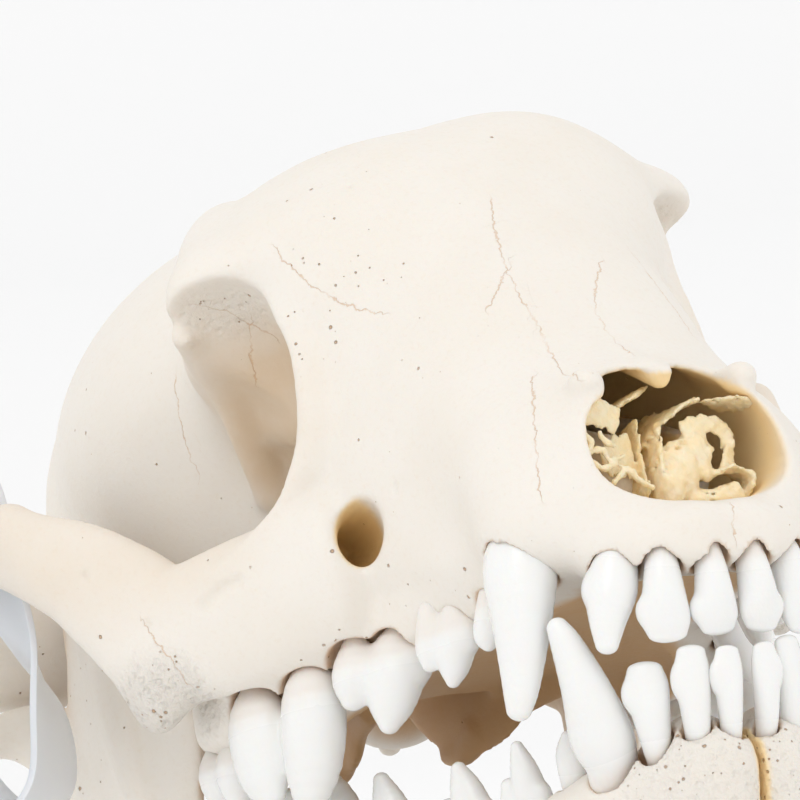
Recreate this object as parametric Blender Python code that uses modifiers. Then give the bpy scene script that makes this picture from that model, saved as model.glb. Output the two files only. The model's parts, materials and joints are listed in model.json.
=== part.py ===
"""The skull of a broad, short-muzzled dog: cranium, two jaw halves, 42 teeth and a plastic tag band.

Bone has no flat or turned faces, so each bone is worked out like clay, as a distance field that smooth
forms are blended onto and hollows are carved from. The surface where the distance is zero becomes the mesh.

Anatomy is written in millimetres in the skull's own frame: the origin is the bone between the two middle
upper incisors, X is the dog's left, Y runs back along the skull and Z up from the palate. Paired forms are
given once, on the left. The whole skull is then tipped nose up by PITCH, as it rests on its lower jaw.
"""

import math

import bmesh
import bpy
import numpy as np
import openvdb
from mathutils import Matrix, Vector

MM = 0.001
PITCH = math.radians(8)
TABLE_CENTER = (2.13, -97.59, 60.9)

BRAINCASE_HALF_WIDTH = 40
BRAINCASE_TOP = 85

LEAN_FRONT = -0.03
LEAN_CHEEK = 0.05
LEAN_BROW = 0.12

BAND_WIDTH = 16
BAND_THICKNESS = 1.2

CRANIUM_STEP = 1.5
JAW_STEP = 1.5
TOOTH_STEP = 0.7
CRANIUM_TRIANGLES = 2560
JAW_TRIANGLES = 430
TOOTH_TRIANGLES = 56
SOCKET_GAP = 0.6
FAR = 60.0

BONE = (0.80, 0.76, 0.70, 1.0)
ENAMEL = (0.85, 0.85, 0.83, 1.0)
PLASTIC = (0.82, 0.84, 0.87, 1.0)


# Clay: distance fields on a grid

class Clay:
    """A block of distance values that forms are blended onto or carved from. Negative is inside."""

    def __init__(self, low, high, step):
        self.low = np.array(low, float)
        self.step = step
        self.size = np.ceil((np.array(high, float) - self.low) / step).astype(int) + 1
        self.field = np.full(self.size, FAR, np.float32)

    def window(self, box, margin):
        """The part of the grid round a form, with its coordinates."""
        first = np.floor((box[0] - margin - self.low) / self.step).astype(int)
        last = np.ceil((box[1] + margin - self.low) / self.step).astype(int) + 1
        first = np.clip(first, 0, self.size)
        last = np.clip(last, 0, self.size)
        where = tuple(slice(a, b) for a, b in zip(first, last))
        axes = [self.low[k] + self.step * np.arange(first[k], last[k], dtype=np.float32) for k in range(3)]
        grid = (axes[0][:, None, None], axes[1][None, :, None], axes[2][None, None, :])
        return where, grid

    def add(self, form, blend=3.0):
        """Joins a form on, with a fillet about as wide as blend."""
        box, distance = form
        where, grid = self.window(box, blend + 2 * self.step)
        if self.field[where].size:
            self.field[where] = smooth_least(self.field[where], distance(*grid), blend)

    def cut(self, form, blend=1.5):
        """Carves a form away, with an edge rounded by about blend."""
        box, distance = form
        where, grid = self.window(box, blend + 2 * self.step)
        if self.field[where].size:
            self.field[where] = -smooth_least(-self.field[where], distance(*grid), blend)

    def mirrored(self):
        """The field of both halves, for clay that was worked on the left of X = 0 only."""
        both = Clay(self.low, self.low, self.step)
        both.low = self.low * (-1, 1, 1)
        both.low[0] = -(self.low[0] + self.step * (self.size[0] - 1))
        both.field = np.concatenate([self.field[:0:-1], self.field], axis=0)
        both.size = np.array(both.field.shape)
        return both

    def surface(self):
        """Points and faces where the field is zero."""
        grid = openvdb.FloatGrid(FAR)
        grid.copyFromArray(np.pad(self.field, 1, constant_values=FAR))
        points, triangles, quads = grid.convertToPolygons(isovalue=0.0, adaptivity=0.0)
        return (points - 1) * self.step + self.low, [list(map(int, face)) for face in (*triangles, *quads)]


def smooth_least(a, b, blend):
    """The lesser of two distances, rounded where they are closer than blend."""
    near = np.clip(0.5 + 0.5 * (b - a) / blend, 0, 1)
    return b + (a - b) * near - blend * near * (1 - near)


def egg(center, radii, turn=(0, 0, 0)):
    """An ellipsoid, turned by degrees about X, Y and Z."""
    center = np.array(center, float)
    radii = np.array(radii, float)
    axes = np.array(Matrix.Rotation(math.radians(turn[2]), 3, "Z")
                    @ Matrix.Rotation(math.radians(turn[1]), 3, "Y")
                    @ Matrix.Rotation(math.radians(turn[0]), 3, "X"))
    reach = np.sqrt(((axes * radii) ** 2).sum(axis=1))

    def distance(x, y, z):
        offset = (x - center[0], y - center[1], z - center[2])
        along = [sum(axes[k, i] * offset[k] for k in range(3)) for i in range(3)]
        return ellipse_distance(along, radii)

    return (center - reach, center + reach), distance


def ellipse_distance(along, radii):
    """Near enough the distance to an ellipsoid, from the offsets along its axes."""
    first = np.sqrt(sum((a / r) ** 2 for a, r in zip(along, radii)))
    second = np.sqrt(sum((a / (r * r)) ** 2 for a, r in zip(along, radii))) + 1e-6
    return first * (first - 1) / second


def smooth_path(points, spans, closed=False):
    """A curve through the rows, which may hold a place and widths, as spans short steps per row."""
    rows = np.array(points, float)
    padded = np.vstack([2 * rows[0] - rows[1], rows, 2 * rows[-1] - rows[-2]])
    if closed:
        padded = np.vstack([rows[-1], rows, rows[:2]])
    steps = []
    for i in range(1, len(padded) - 2):
        a, b, c, d = padded[i - 1:i + 3]
        for t in np.arange(spans) / spans:
            curve = 2 * b + (c - a) * t + (2 * a - 5 * b + 4 * c - d) * t * t
            steps.append(0.5 * (curve + (3 * b - a - 3 * c + d) * t ** 3))
    if not closed:
        steps.append(rows[-1])
    return np.array(steps)


def limb(points, up=(0, 0, 1), spans=4):
    """A bar along a smooth path. Rows hold x, y, z, half width and half height, or one radius."""
    rows = [tuple(row) if len(row) == 5 else (*row, row[3]) for row in points]
    path = smooth_path(rows, spans)
    pieces = []
    for start, end in zip(path[:-1], path[1:]):
        along = end[:3] - start[:3]
        length = np.linalg.norm(along)
        along = along / length
        side = np.cross(along, up)
        side = side / np.linalg.norm(side)
        pieces.append((start, end, along, length, side, np.cross(side, along)))

    def distance(x, y, z):
        least = None
        for start, end, along, length, side, top in pieces:
            offset = (x - start[0], y - start[1], z - start[2])
            run = sum(along[k] * offset[k] for k in range(3))
            share = np.clip(run / length, 0, 1)
            wide = start[3] + (end[3] - start[3]) * share
            tall = start[4] + (end[4] - start[4]) * share
            axes = (sum(side[k] * offset[k] for k in range(3)),
                    sum(top[k] * offset[k] for k in range(3)),
                    run - share * length)
            piece = ellipse_distance(axes, (wide, tall, np.minimum(wide, tall)))
            least = piece if least is None else np.minimum(least, piece)
        return least

    reach = np.abs(path[:, 3:]).max(axis=1)[:, None]
    return ((path[:, :3] - reach).min(axis=0), (path[:, :3] + reach).max(axis=0)), distance


def hull_form(stations):
    """A closed form along Y. Rows hold y, half width, height of the widest point, top, bottom and squareness."""
    table = smooth_path(stations, 6)
    first, last = table[0, 0], table[-1, 0]
    low = (-table[:, 1].max(), first, table[:, 4].min())
    high = (table[:, 1].max(), last, table[:, 3].max())

    def distance(x, y, z):
        at = np.clip(y, first, last)
        wide, middle, top, bottom, square = (np.interp(at, table[:, 0], table[:, k]) for k in range(1, 6))
        across = np.abs(x)
        rise = z - middle
        tall = np.where(rise > 0, top - middle, middle - bottom)
        grown = ((across / wide) ** square + (np.abs(rise) / tall) ** square) ** (1 / square) + 1e-6
        side = np.sqrt(across ** 2 + rise ** 2) * (1 - 1 / grown)
        side = np.where(grown < 0.3, -0.5 * np.minimum(wide, tall), side)
        ends = np.maximum(first - y, y - last)
        return -smooth_least(-side, -ends, 3.0)

    return (np.array(low, float), np.array(high, float)), distance


# The cranium

FACE = [
    (-1.5, 9, 3, 7, -1, 2.6),
    (4, 15.5, 4, 11, -1, 2.6),
    (8, 19, 6, 27, -1, 2.5),
    (13, 22, 8, 31, -1, 2.4),
    (20, 24.5, 9, 34, -1, 2.4),
    (28, 25.5, 10, 40, -2, 2.3),
    (37, 27.6, 10, 51, -3, 2.4),
    (47, 30, 14, 61, -4, 2.35),
    (57, 33, 18, 68, -4, 2.25),
    (66, 35.5, 24, 74, -2, 2.1),
    (78, 37.5, 28, 79, 2, 2.1),
]
TOOTH_SHELF = [
    (24, 22, 1, 9, -1, 3),
    (40, 24, 1, 9, -2, 3),
    (52, 29.5, 1, 10, -3, 3),
    (62, 35.5, 0, 11, -4, 3),
    (74, 42.5, -2, 12, -8, 3),
    (86, 47, -3, 12, -12.5, 3),
    (96, 46, -3, 11, -12.5, 3),
    (106, 38.5, -2, 9, -9, 3),
]
PALATE_HOLLOW = [
    (6, 6, -3, 1, -8, 2),
    (20, 13, -5, 1, -12, 2.2),
    (40, 17, -6, 0.5, -14, 2.2),
    (60, 22, -8, -0.5, -20, 2.2),
    (80, 30, -9, -2.2, -24, 2.2),
    (100, 31, -10, -3.5, -28, 2.2),
    (114, 31, -10, -3.5, -28, 2.2),
]
NOSE_HOLLOW = [
    (-6, 15, 15, 26, 8.2, 2.4),
    (3, 15.5, 16, 27, 8.6, 2.4),
    (9, 15.8, 17, 28.5, 8.8, 2.4),
    (14, 16, 18, 30.5, 8, 2.3),
    (24, 16, 19, 34.5, 7, 2.2),
    (36, 15, 20, 43, 6, 2.2),
    (60, 12, 22, 46, 6, 2.2),
    (90, 9.5, 12, 26, 4, 2.2),
    (108, 8, 2, 8, -6, 2.2),
    (118, 8, -4, 3, -12, 2.2),
]
SKULL_BASE = [
    (70, 22, 22, 52, 2, 2.4),
    (84, 19, 22, 52, 2, 2.4),
    (98, 17, 20, 48, 0, 2.6),
    (112, 16, 16, 40, -1, 2.6),
    (135, 18, 16, 36, 0, 2.6),
    (160, 20, 20, 42, 4, 2.4),
    (184, 18, 26, 48, 13, 2.2),
]
CHEEK_ARCH = [
    (35, 60, 13, 5, 11),
    (44, 73, 11, 5.5, 11.5),
    (52.5, 84, 10.5, 5, 10.5),
    (57.5, 89.5, 17, 4.5, 9.5),
    (62, 95, 23.5, 4, 8.2),
    (67, 103, 29, 3.2, 7),
    (71, 115, 35, 2.8, 6.5),
    (70.5, 130, 38, 2.8, 6.2),
    (64, 144, 35, 3.5, 6),
    (54, 153, 25, 6.5, 6.5),
    (41, 156, 21, 8, 7),
]


def cranium_clay(step):
    """The left half of the cranium, without its teeth."""
    clay = Clay((0, -6, -22), (78, 196, 94), step)
    add_face(clay)
    add_braincase(clay)
    carve_orbit(clay)
    add_brow(clay)
    add_arch(clay)
    add_base(clay)
    carve_nose(clay)
    carve_holes(clay)
    carve_collars(clay, UPPER_TEETH)
    return clay


def add_face(clay):
    clay.add(hull_form(FACE), 4)
    clay.add(egg((0, 86, 58), (39, 35, 23.5)), 9)
    clay.add(egg((17, 85, 62), (20.5, 25, 20.6)), 8)
    clay.add(hull_form(TOOTH_SHELF), 5)
    # bone over the root of the canine
    clay.add(limb([(21.5, 19.5, 9, 6), (21, 25, 18, 5), (19, 33, 26, 3.5)]), 11)
    # bone over the roots of the incisors
    for x, y, radius in ((4, 2.5, 4.2), (10, 5, 4.2), (14.5, 9.8, 4.4)):
        clay.add(limb([(x, y, 2, radius), (x * 0.92, y + 4, 11, radius * 0.8)]), 3)


def add_braincase(clay):
    clay.add(egg((0, 142, BRAINCASE_TOP - 35), (BRAINCASE_HALF_WIDTH, 46, 35)), 10)
    clay.add(egg((0, 140, 30), (31, 44, 24)), 10)
    clay.add(egg((0, 168, 46), (29, 19, 33)), 9)
    # crest along the top, and the crest that frames the back of the skull
    clay.add(limb([(0, 118, 80, 8, 4), (0, 148, 82, 6, 4), (0, 170, 82, 4), (0, 186, 75, 3.5)]), 6)
    clay.add(limb([(0, 186, 73, 4), (17, 180, 66, 3.5), (28.5, 172, 50, 3.5), (36, 163, 28, 3.5)]), 7)


def carve_orbit(clay):
    clay.cut(egg((60, 86, 38), (36, 30, 21)), 3)
    clay.cut(egg((64, 112, 42), (30, 18, 26)), 6)


def carve_brow(clay):
    """The hollow under the process, with the sharp rim over it."""
    clay.cut(egg((49.4, 75.7, 41.4), (29.1, 16, 24.8), (-1, -18, -8.2)), 1.5)


def add_brow(clay):
    """The process behind the orbit and the ridge that runs back from it over the temple."""
    clay.add(limb([(24, 76, 68.5, 7, 6), (34, 79, 67, 6.5, 5.5), (40, 81, 63.8, 5.5, 5), (43.4, 82, 61.4, 4)]), 5)
    clay.add(limb([(39.5, 84, 67.5, 3), (32, 94, 74.5, 3.5), (22, 107, 79, 4), (8, 122, 80, 4)]), 8)
    # rim along the front of the orbit
    clay.add(limb([(38, 76.5, 64, 2.5), (33.6, 70.5, 55.5, 2.4), (33.5, 63, 43, 2.2), (36, 63, 30, 2.4),
                   (46, 73.5, 18, 2.8)]), 5)
    carve_brow(clay)
    clay.add(limb([(42, 86, 59.5, 2), (38, 90.5, 56.5, 2), (31.5, 95.5, 49.5, 2.2), (28, 100, 43, 2.4),
                   (23, 105, 33, 2.5)]), 3)


def add_arch(clay):
    clay.add(limb(CHEEK_ARCH), 4)
    clay.add(limb([(63, 98, 24, 3.5), (67, 103, 31.5, 2.8), (68, 105, 35.5, 2.2)]), 4)
    clay.add(egg((55, 87, 3), (4.2, 6.5, 7)), 4)
    # seat of the jaw joint
    clay.add(limb([(43, 157, 14, 4), (59, 155, 14.5, 4)]), 4)
    clay.add(limb([(45, 160, 12, 3), (46.5, 161, 5, 2)]), 3)


def add_base(clay):
    clay.add(hull_form(SKULL_BASE), 5)
    clay.add(egg((19, 158, 4), (10.5, 13, 10)), 3)
    clay.add(egg((12, 186, 23), (7, 7.5, 9.5), (0, 20, 0)), 3)
    clay.add(limb([(29, 172, 18, 5), (27, 178, 6, 3.5), (26, 179, -3, 2.2)]), 4)


def carve_nose(clay):
    clay.cut(hull_form(PALATE_HOLLOW), 2)
    # plates either side of the way from the nose to the throat, each with a hook
    clay.add(limb([(17.5, 92, 0, 3, 7.5), (14.5, 104, -1, 2.4, 8), (12.5, 113, -3, 2, 9.5),
                   (11, 124, -2, 1.9, 8.5), (10, 134, 2, 1.8, 5)]), 3)
    clay.add(limb([(12, 115, -9, 2), (11.5, 120, -12, 1.7), (11.5, 126, -11.5, 1.5)]), 2)
    clay.cut(hull_form(NOSE_HOLLOW), 1.5)
    # the scalloped edge of the nasal bones, with a point in the middle and a knob at the corner
    clay.cut(egg((6.6, 8, 29.5), (5.6, 7.5, 6)), 1)
    clay.add(limb([(0, 24, 34.5, 2.4, 1.6), (0, 13, 29, 1.6)]), 1.5)
    clay.add(egg((12.8, 12, 28.4), (2.4, 3.2, 2.3)), 2)
    # the gap between the sockets of the second and third incisors
    clay.cut(egg((12, 5.4, -1.6), (1.8, 1.8, 2.6)), 0.8)
    # the wall between the two sides, and the curled plates
    clay.add(limb([(0, 18, 8, 1.3, 5), (0, 40, 14, 1.3, 9), (0, 70, 16, 1.3, 14)]), 1)
    clay.add(limb([(6, 20, 16, 3.2, 6), (7.5, 40, 20, 4, 8), (9.5, 68, 24, 5, 10)]), 1)


def collar_forms(teeth):
    """Rods round the necks of the teeth, one for each root that shows."""
    forms = []
    for gum, tip, facing, kind, width in teeth.values():
        gum, tip = np.array(gum, float), np.array(tip, float)
        up = (tip - gum) / np.linalg.norm(tip - gum)
        for share in NECKS[kind]:
            offset = share * width * row_direction(facing)
            radius = NECK_RADIUS[kind] * width
            ends = (gum + offset - 1.5 * up, gum + offset + 12 * up)
            forms.append(limb([(*end, radius) for end in ends], (1, 0.1, 0)))
    return forms


def carve_collars(clay, teeth):
    """Notches in the edge of the jaw, which bare the neck of each tooth."""
    for form in collar_forms(teeth):
        clay.cut(form, 0.8)


def carve_holes(clay):
    # the infraorbital foramen, above the third premolar
    clay.cut(limb([(35, 49, 17.8, 3.8, 5.6), (29.5, 61, 17, 3.5, 4.5), (28, 74, 17, 3)]), 1)
    # the hollow of the braincase and its way out at the back
    clay.cut(egg((0, 143, 46), (34, 38, 30)), 2)
    clay.cut(limb([(0, 166, 34, 8), (0, 200, 30, 8)]), 2)


# The lower jaw

JAW_BODY = [
    (5, 8, -33, 4.5, 10),
    (11, 15, -36, 5.5, 11),
    (17, 26, -39.5, 5.5, 11.5),
    (21, 40, -41.5, 5, 11.5),
    (25, 56, -42, 5, 12),
    (29, 74, -40.5, 5, 11.2),
    (33, 92, -38.5, 5, 10.2),
    (38, 110, -35, 4.5, 10),
    (43, 128, -29, 3.5, 11),
    (46, 142, -29, 3, 8.5),
]


def jaw_clay(step):
    """The left half of the lower jaw."""
    clay = Clay((0.6, -4, -60), (64, 166, 40), step)
    clay.add(limb(JAW_BODY), 4)
    # the plate that rises behind the teeth
    clay.add(egg((43, 130, -10), (3.2, 18, 26), (18, 0, -13)), 6)
    clay.add(egg((45, 134, 12), (2.4, 11, 22), (-6, 0, 0)), 5)
    clay.add(limb([(44.5, 122, -12, 2.5), (45.5, 127, 6, 2.5), (45.5, 133, 24, 2)]), 4)
    # the joint's roller and the process below it
    clay.add(limb([(44, 150, 2, 3.2), (51, 150, 3.6, 4), (59, 149, 2.6, 3.4)]), 4)
    clay.add(limb([(46.5, 139, -10, 4), (50, 148, 0, 4)]), 5)
    clay.add(limb([(46, 138, -31, 4.5), (48, 149, -35.5, 4), (48.5, 157, -37.2, 3)]), 4)
    # the chin, where the halves meet
    clay.add(egg((5.5, 10, -33), (6.5, 9.5, 11.5)), 5)
    clay.add(limb([(3, 4.5, -29, 3.2, 4), (9, 8, -30, 3.5, 4.5), (15, 16, -32, 4.5, 5), (18, 26, -34, 4, 5)]), 4)
    carve_collars(clay, LOWER_TEETH)
    return clay


# Teeth, given as gum point, tip, the way they face in degrees from the front, and kind

UPPER_TEETH = {
    "incisor_1": ((3.4, 0.9, -1.0), (3.7, 1.4, -11.3), 4, "incisor", 7.0),
    "incisor_2": ((9.9, 3.2, 0.3), (11.3, 2.8, -11.6), 18, "incisor", 7.6),
    "incisor_3": ((14.2, 8.2, 2.2), (19.6, 7.0, -12.0), 38, "fang", 8.2),
    "canine": ((22.6, 20.0, 8.0), (28.4, 19.4, -19.2), 60, "canine", 11.6),
    "premolar_1": ((23.4, 33.3, -0.8), (24.8, 33.3, -6.5), 70, "peg", 5.6),
    "premolar_2": ((25.8, 43.4, -2.2), (26.6, 42.4, -9.8), 55, "blade", 10.5),
    "premolar_3": ((30.4, 57.5, -2.8), (31.6, 56, -12.8), 42, "blade", 15.5),
    "premolar_4": ((40.1, 73.0, -5.5), (41.8, 71, -23), 62, "shear", 20.0),
    "molar_1": ((42.0, 91.0, -11.5), (43.0, 90.5, -18), 78, "grinder", 12.5),
    "molar_2": ((37.0, 101.5, -11.0), (37.5, 101, -15.5), 84, "grinder", 8.0),
}
LOWER_TEETH = {
    "incisor_1": ((2.9, 3.6, -25), (3.2, 0.6, -12.5), 4, "incisor", 4.8),
    "incisor_2": ((7.4, 5.6, -25.5), (8.1, 2.4, -11.8), 14, "incisor", 5.6),
    "incisor_3": ((12.0, 9.6, -25.5), (13.7, 6.8, -13.2), 30, "incisor", 6.8),
    "canine": ((16.0, 15.8, -26.5), (23.8, 12.6, -4.6), 45, "canine", 9.6),
    "premolar_1": ((17.4, 26.2, -27.5), (18.2, 25.0, -19.6), 65, "peg", 5.4),
    "premolar_2": ((20.4, 36.5, -29.5), (21.4, 35.4, -19.2), 70, "blade", 9.5),
    "premolar_3": ((23.6, 50.0, -30), (24.6, 49.5, -20), 72, "blade", 11.5),
    "premolar_4": ((28.0, 68.0, -30), (29.0, 67.5, -18.5), 72, "blade", 12.5),
    "molar_1": ((31.6, 86.5, -29), (32.6, 85, -14), 74, "shear", 20.0),
    "molar_2": ((35.2, 103.0, -27), (35.6, 102.5, -21.5), 74, "grinder", 9.0),
    "molar_3": ((37.4, 111.0, -25.5), (37.6, 111, -22), 74, "peg", 5.0),
}


# where the necks of a tooth stand along the row, and their radius, as shares of its width
NECKS = {"incisor": (0,), "fang": (0,), "canine": (0,), "peg": (0,), "blade": (-0.14, 0.28), "shear": (-0.25, 0.26),
         "grinder": (-0.2, 0.22)}
NECK_RADIUS = {"incisor": 0.4, "fang": 0.44, "canine": 0.46, "peg": 0.44, "blade": 0.29, "shear": 0.26, "grinder": 0.3}


def row_direction(facing):
    """The way along the tooth row, to the back, for a tooth that faces so many degrees from the front."""
    angle = math.radians(facing)
    return np.array((math.cos(angle), math.sin(angle), 0))


def tooth_forms(kind, width, height):
    """Forms of a tooth on its gum point: X along the row and to the back, Y out, Z from the gum to the tip."""
    if kind == "incisor":
        return [limb([(0, -1.4, -5.5, width * 0.2, width * 0.26), (0, 0, 0, width * 0.31, width * 0.38),
                      (0, 0.3, height * 0.4, width * 0.41, width * 0.38),
                      (0, 0.2, height * 0.7, width * 0.48, width * 0.27),
                      (-0.2, 0, height - 1.1, width * 0.38, width * 0.16)], (0, 1, 0)),
                egg((width * 0.4, 0, height * 0.62), (width * 0.13, width * 0.16, height * 0.12))]
    if kind == "fang":
        return [limb([(0, -1.8, -6, width * 0.22, width * 0.26), (0, 0, 0, width * 0.36, width * 0.42),
                      (0, 0.4, height * 0.35, width * 0.46, width * 0.42),
                      (0, 0.2, height * 0.65, width * 0.34, width * 0.32),
                      (-0.4, 0, height - 1.4, width * 0.21, width * 0.18)], (0, 1, 0)),
                egg((width * 0.36, 0, height * 0.36), (width * 0.16, width * 0.2, height * 0.14))]
    if kind == "canine":
        return [limb([(width * 0.3, -1, -9, width * 0.36, width * 0.34), (0.4, 0, 0, width * 0.4, width * 0.4),
                      (0, 0.6, height * 0.2, width * 0.49, width * 0.43),
                      (-width * 0.06, 0.8, height * 0.5, width * 0.38, width * 0.34),
                      (-width * 0.04, 0.3, height * 0.8, width * 0.25, width * 0.23),
                      (0, 0, height - 1.9, width * 0.17, width * 0.16)], (0, 1, 0))]
    if kind == "peg":
        return [limb([(0, 0, -5, width * 0.3, width * 0.28), (0, 0, 0, width * 0.42, width * 0.36),
                      (0, 0, height * 0.5, width * 0.45, width * 0.34),
                      (-width * 0.05, 0, height - 1.3, width * 0.24, width * 0.2)], (0, 1, 0))]
    if kind == "blade":
        return [limb([(-width * 0.2, 0, -5, 1.8, 1.8), (-width * 0.12, 0, 0, width * 0.32, width * 0.23),
                      (-width * 0.06, 0, height * 0.5, width * 0.26, width * 0.2),
                      (0, 0, height - 1.2, width * 0.11, width * 0.1)], (0, 1, 0)),
                limb([(width * 0.26, 0, -5, 1.8, 1.8), (width * 0.29, 0, 0, width * 0.24, width * 0.21),
                      (width * 0.34, 0, height * 0.36, width * 0.13, width * 0.12)], (0, 1, 0)),
                limb([(-width * 0.36, 0, -0.5, width * 0.15, width * 0.15),
                      (-width * 0.38, 0, height * 0.2, width * 0.1, width * 0.1)], (0, 1, 0))]
    if kind == "shear":
        return [limb([(-width * 0.26, 0, -5, 2.4, 2.4), (-width * 0.25, 0, 0, width * 0.25, width * 0.24),
                      (-width * 0.19, 0, height * 0.5, width * 0.24, width * 0.2),
                      (-width * 0.1, 0, height - 1.5, width * 0.09, width * 0.08)], (0, 1, 0)),
                limb([(width * 0.29, 0, -5, 2.4, 2.4), (width * 0.3, 0, 0, width * 0.26, width * 0.2),
                      (width * 0.29, 0, height * 0.4, width * 0.24, width * 0.16),
                      (width * 0.25, 0, height * 0.66, width * 0.13, width * 0.09)], (0, 1, 0))]
    return [limb([(-width * 0.26, 1.5, -4, 2, 2), (-width * 0.2, 1.5, 0, width * 0.28, width * 0.3),
                  (-width * 0.2, 1.5, height - 1.5, width * 0.16, width * 0.16)], (0, 1, 0)),
            limb([(width * 0.26, 1.2, -4, 2, 2), (width * 0.22, 1.2, 0, width * 0.26, width * 0.3),
                  (width * 0.22, 1.2, height * 0.55, width * 0.16, width * 0.16)], (0, 1, 0)),
            limb([(0, -width * 0.36, -3, 2, 2), (0, -width * 0.3, 0.5, width * 0.34, width * 0.3)], (0, 1, 0))]


def tooth_clay(kind, width, height, step):
    half = width * 0.62 + 3
    clay = Clay((-half, -half, -14), (half, half, height + 2), step)
    for form in tooth_forms(kind, width, height):
        clay.add(form, 1.6)
    return clay


def placed_points(points, frame, upper):
    """Points in the skull's frame. The upper skull leans a little: higher on the left at the brow than in front."""
    placed = points @ np.array(frame.to_3x3()).T + np.array(frame.translation)
    if not upper:
        return placed
    back = eased(placed[:, 1], 10, 78)
    high = eased(placed[:, 2], 25, 62)
    slope = LEAN_FRONT + back * (LEAN_CHEEK - LEAN_FRONT + high * (LEAN_BROW - LEAN_CHEEK))
    placed[:, 2] += slope * placed[:, 0]
    return placed


def eased(value, start, end):
    """From 0 to 1 between start and end, with no kink."""
    share = np.clip((value - start) / (end - start), 0, 1)
    return share * share * (3 - 2 * share)


def tooth_frame(gum, tip, facing):
    """The matrix that sets a tooth on its gum point, in the skull's frame."""
    up = (Vector(tip) - Vector(gum)).normalized()
    angle = math.radians(facing)
    outward = Vector((math.sin(angle), -math.cos(angle), 0))
    outward = (outward - up * outward.dot(up)).normalized()
    along = outward.cross(up)
    if along.y < 0:
        along = -along
    frame = Matrix((along, outward, up)).transposed().to_4x4()
    frame.translation = Vector(gum)
    return frame


# Meshes and objects

def clear_scene():
    for obj in list(bpy.data.objects):
        bpy.data.objects.remove(obj, do_unlink=True)


def collection(name):
    new = bpy.data.collections.new(name)
    bpy.context.scene.collection.children.link(new)
    return new


def material(name, color, roughness):
    new = bpy.data.materials.new(name)
    new.use_nodes = True
    shader = new.node_tree.nodes["Principled BSDF"]
    shader.inputs["Base Color"].default_value = color
    shader.inputs["Roughness"].default_value = roughness
    shader.inputs["Metallic"].default_value = 0.0
    return new


def skull_to_world():
    """From the skull's frame in millimetres to metres on the table."""
    tipped = Matrix.Rotation(-PITCH, 4, "X")
    return Matrix.Scale(MM, 4) @ Matrix.Translation(TABLE_CENTER) @ tipped


def solid(name, points, faces, inverted, group, finish, triangles):
    """An object from clay, thinned to about the wanted number of triangles."""
    mesh = bpy.data.meshes.new(name)
    to_world = skull_to_world()
    mesh.from_pydata([to_world @ Vector(p) for p in points.tolist()], [], faces)
    if inverted:
        mesh.flip_normals()
    mesh.materials.append(finish)
    obj = bpy.data.objects.new(name, mesh)
    group.objects.link(obj)
    thin = obj.modifiers.new("thin", "DECIMATE")
    tris = sum(len(face) - 2 for face in faces)
    thin.ratio = min(1.0, triangles / tris)
    thin.use_collapse_triangulate = True
    applied = bpy.data.meshes.new_from_object(obj.evaluated_get(bpy.context.evaluated_depsgraph_get()))
    obj.modifiers.clear()
    obj.data = applied
    return obj


def socket_cutter(teeth, group):
    """All of a jaw's teeth, swollen by the gap that they keep to the bone."""
    joined = bmesh.new()
    for tooth in teeth:
        swollen = tooth.data.copy()
        normals = [vertex.normal.copy() for vertex in swollen.vertices]
        for vertex, normal in zip(swollen.vertices, normals):
            vertex.co += normal * (SOCKET_GAP * MM)
        joined.from_mesh(swollen)
        bpy.data.meshes.remove(swollen)
    mesh = bpy.data.meshes.new("sockets")
    joined.to_mesh(mesh)
    joined.free()
    cutter = bpy.data.objects.new(f"sockets_{len(group.objects)}", mesh)
    cutter.hide_render = True
    cutter.display_type = "WIRE"
    group.objects.link(cutter)
    return cutter


def table_cutter(group):
    """Everything below the table, which the lower borders of the jaw are flattened on."""
    bpy.ops.mesh.primitive_cube_add(size=0.4, location=(0, 0, -0.2))
    cutter = bpy.context.object
    cutter.name = "table"
    cutter.hide_render = True
    cutter.display_type = "WIRE"
    for home in list(cutter.users_collection):
        home.objects.unlink(cutter)
    group.objects.link(cutter)
    return cutter


def carve(solid_object, cutter):
    hollow = solid_object.modifiers.new(cutter.name, "BOOLEAN")
    hollow.operation = "DIFFERENCE"
    hollow.use_self = True
    hollow.object = cutter


def build_teeth(group, jaw, table, side):
    """The teeth of one side of one jaw, in their places."""
    finish = material(f"enamel_{jaw}_{side}", ENAMEL, 0.35)
    mirror = Matrix.Scale(-1 if side == "right" else 1, 4, (1, 0, 0))
    teeth = []
    for name, (gum, tip, facing, kind, width) in table.items():
        height = (Vector(tip) - Vector(gum)).length
        points, faces = tooth_clay(kind, width, height, TOOTH_STEP).surface()
        frame = mirror @ tooth_frame(gum, tip, facing)
        placed = placed_points(points, frame, jaw == "upper")
        inverted = frame.to_3x3().determinant() < 0
        teeth.append(solid(f"{jaw}_{side}_{name}", placed, faces, inverted, group, finish, TOOTH_TRIANGLES))
    return teeth


# The tag band: middle line of the strap as x, y, z, and its turn in degrees, from the top round the outer side

BAND_LINE = [
    (-71.2, 119, 43.0, 3),
    (-75.6, 119, 37.5, 3),
    (-76.2, 119, 28, 3),
    (-76.0, 119, 16, 0),
    (-75.0, 120, 4, -20),
    (-72.0, 120, -8, -38),
    (-66.0, 121, -13, -46),
    (-60.5, 121.5, -8, -46),
    (-59.8, 121, 3, -38),
    (-62.4, 120, 13, -12),
    (-65.4, 119, 22, 2),
    (-66.3, 119, 33, 3),
    (-67.8, 119, 40, 3),
]


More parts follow.
